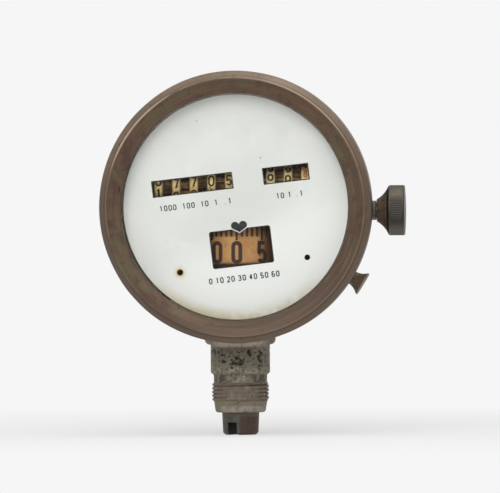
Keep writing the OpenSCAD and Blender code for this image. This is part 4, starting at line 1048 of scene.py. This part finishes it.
def behind_enamel(x, z, lift):
    """A point a little behind the dial's enamel, where the dark strip stands a little into a window."""
    return on_dial(x, z, lift - EDGE_SUNK)


chips = Ink()
for x, z, width, height in CHIPS:
    chips.sheet([(x + dx, z + dz) for dx, dz in arc((0, 0), width / 2, height / 2, 0, 324, 9)], on_dial)
make_piece("enamel_chips", chips.points, chips.faces, dial_edge, "base")

print_ink = Ink()
for row in NUMBER_ROWS:
    row_of_numbers(print_ink, *row)
make_piece("dial_numbers", print_ink.points, print_ink.faces, dial_ink, "base")

edges = Ink()
for window in (SEASON_WINDOW, TRIP_WINDOW):
    edges.stroke(oblong(*window), True, EDGE_W, behind_enamel)
clockwise = oblong(*SPEED_WINDOW)[::-1]
top_left, the_rest = clockwise[:CORNER_STEPS + 1], clockwise[CORNER_STEPS + 1:]
edge = [EDGE_STOP] + the_rest + top_left + [(-EDGE_STOP[0], EDGE_STOP[1])]
edges.stroke(edge, False, EDGE_W, behind_enamel)
make_piece("window_edges", edges.points, edges.faces, dial_edge, "base")

index = Ink()
lobe = arc((1.33, -6.4), 1.35, 1.32, -38, 158, 12)
index.sheet(lobe + [(-x, z) for x, z in reversed(lobe)] + [INDEX_POINT], on_dial)
make_piece("dial_index", index.points, index.faces, dial_ink, "base")


# Stage: a pale floor that fades into the white room

WHITE = "#F6F6F6"
# How bright the glass and the metal mirror the side of the room where the camera stands
MIRRORED_AHEAD = 0.22
FLOOR_HALF = 1.2
# Ways from the part, in millimetres, over which its shadow ends and the mirrored floor grows dim
SHADOW_NEAR, SHADOW_FAR = 100, 320
DIM_NEAR, DIM_FAR = 250, 1150


def pale_floor():
    """White paper: it glows as the room does for the camera, and keeps the part's soft shadow."""
    look = Finish("white_paper", {"Base Color": linear(WHITE), "Roughness": 0.9, "Specular IOR Level": 0.1})
    tree = look.tree
    seen = any_ray(tree, "Is Camera Ray", "Is Glossy Ray", "Is Transmission Ray")
    away = add(tree, "VectorMath", {"operation": "LENGTH"}, {0: look.place}).outputs["Value"]
    share = add(tree, "MapRange", {"From Min": SHADOW_NEAR, "From Max": SHADOW_FAR, "To Min": 0.6,
                                   "To Max": 1.0}, {"Value": away})
    share = add(tree, "Math", {"operation": "MULTIPLY"}, {0: seen, 1: share.outputs["Result"]}).outputs[0]
    fading = add(tree, "MapRange", {"From Min": DIM_NEAR, "From Max": DIM_FAR, "To Min": 1.0,
                                    "To Max": MIRRORED_AHEAD}, {"Value": away}).outputs["Result"]
    level = add(tree, "Mix", {2: 1.0}, {0: any_ray(tree, "Is Glossy Ray"), 3: fading}).outputs[0]
    glow = add(tree, "Emission", {"Color": linear(WHITE)}, {"Strength": level}).outputs["Emission"]
    look.share_with(glow, share)
    return look.material


floor_mesh = bpy.data.meshes.new("floor")
corners = [(-1, -1), (1, -1), (1, 1), (-1, 1)]
floor_mesh.from_pydata([(x * FLOOR_HALF, y * FLOOR_HALF, 0) for x, y in corners], [], [(0, 1, 2, 3)])
floor_mesh.materials.append(pale_floor())
floor = bpy.data.objects.new("floor", floor_mesh)
floor.location = (0, -AXIS_DEPTH * MM, TIP_BOTTOM * MM)
bpy.context.scene.collection.objects.link(floor)

world = bpy.data.worlds.new("white_room")
bpy.context.scene.world = world
world.use_nodes = True
room = world.node_tree
room.nodes.clear()
toward = add(room, "SeparateXYZ", links={"Vector": add(room, "TexCoord").outputs["Generated"]}).outputs["Y"]
ahead = add(room, "MapRange", {"From Min": -0.97, "From Max": -0.7, "To Min": MIRRORED_AHEAD,
                               "To Max": 1.0}, {"Value": toward}).outputs["Result"]
dim = add(room, "Background", {"Color": linear(WHITE), "Strength": 0.4}).outputs["Background"]
mirrored = add(room, "Background", {"Color": linear(WHITE)}, {"Strength": ahead}).outputs["Background"]
bright = add(room, "Background", {"Color": linear(WHITE), "Strength": 1.0}).outputs["Background"]
glossy = any_ray(room, "Is Glossy Ray")
mixed = add(room, "MixShader", links={0: glossy, 1: dim, 2: mirrored}).outputs["Shader"]
shown = any_ray(room, "Is Camera Ray", "Is Transmission Ray")
mixed = add(room, "MixShader", links={0: shown, 1: mixed, 2: bright}).outputs["Shader"]
add(room, "OutputWorld", links={"Surface": mixed})

# Softboxes: name, place in metres and power
SOFTBOXES = (("key_softbox", (-0.12, -1.0, 0.52), 6.3), ("top_softbox", (0.05, -0.35, 0.9), 3.2))
SOFTBOX_SIZE = 0.7
LIT_SPOT = Vector((0, -0.04, -0.01))
for name, at, power in SOFTBOXES:
    lamp = bpy.data.lights.new(name, "AREA")
    lamp.shape = "SQUARE"
    lamp.size = SOFTBOX_SIZE
    lamp.energy = power
    stand = bpy.data.objects.new(name, lamp)
    stand.location = at
    stand.rotation_mode = "QUATERNION"
    stand.rotation_quaternion = (Vector(at) - LIT_SPOT).to_track_quat("Z", "Y")
    bpy.context.scene.collection.objects.link(stand)

# Camera: a little right of the dial's axis, level, at the photograph's roll
VIEW_TURN, VIEW_RISE, VIEW_ROLL = math.radians(3.1), math.radians(0.6), math.radians(0.4)
VIEW_CENTRE = Vector((4.7, -47.0, -13.2)) * MM
DISTANCE = 3.0
PIXELS_PER_MM = 3.0
PICTURE_W = 500
SENSOR_W = 36
camera = bpy.data.cameras.new("camera")
camera.sensor_width = SENSOR_W
camera.lens = SENSOR_W * PIXELS_PER_MM * DISTANCE / MM / PICTURE_W
camera.clip_end = 100
tripod = bpy.data.objects.new("camera", camera)
back = Vector((math.sin(VIEW_TURN) * math.cos(VIEW_RISE), -math.cos(VIEW_TURN) * math.cos(VIEW_RISE),
               math.sin(VIEW_RISE)))
tripod.location = VIEW_CENTRE + back * DISTANCE
tripod.rotation_mode = "QUATERNION"
tripod.rotation_quaternion = (-back).to_track_quat("-Z", "Y") @ Quaternion((0, 0, 1), -VIEW_ROLL)
bpy.context.scene.collection.objects.link(tripod)
bpy.context.scene.camera = tripod
bpy.context.scene.view_settings.view_transform = "Standard"
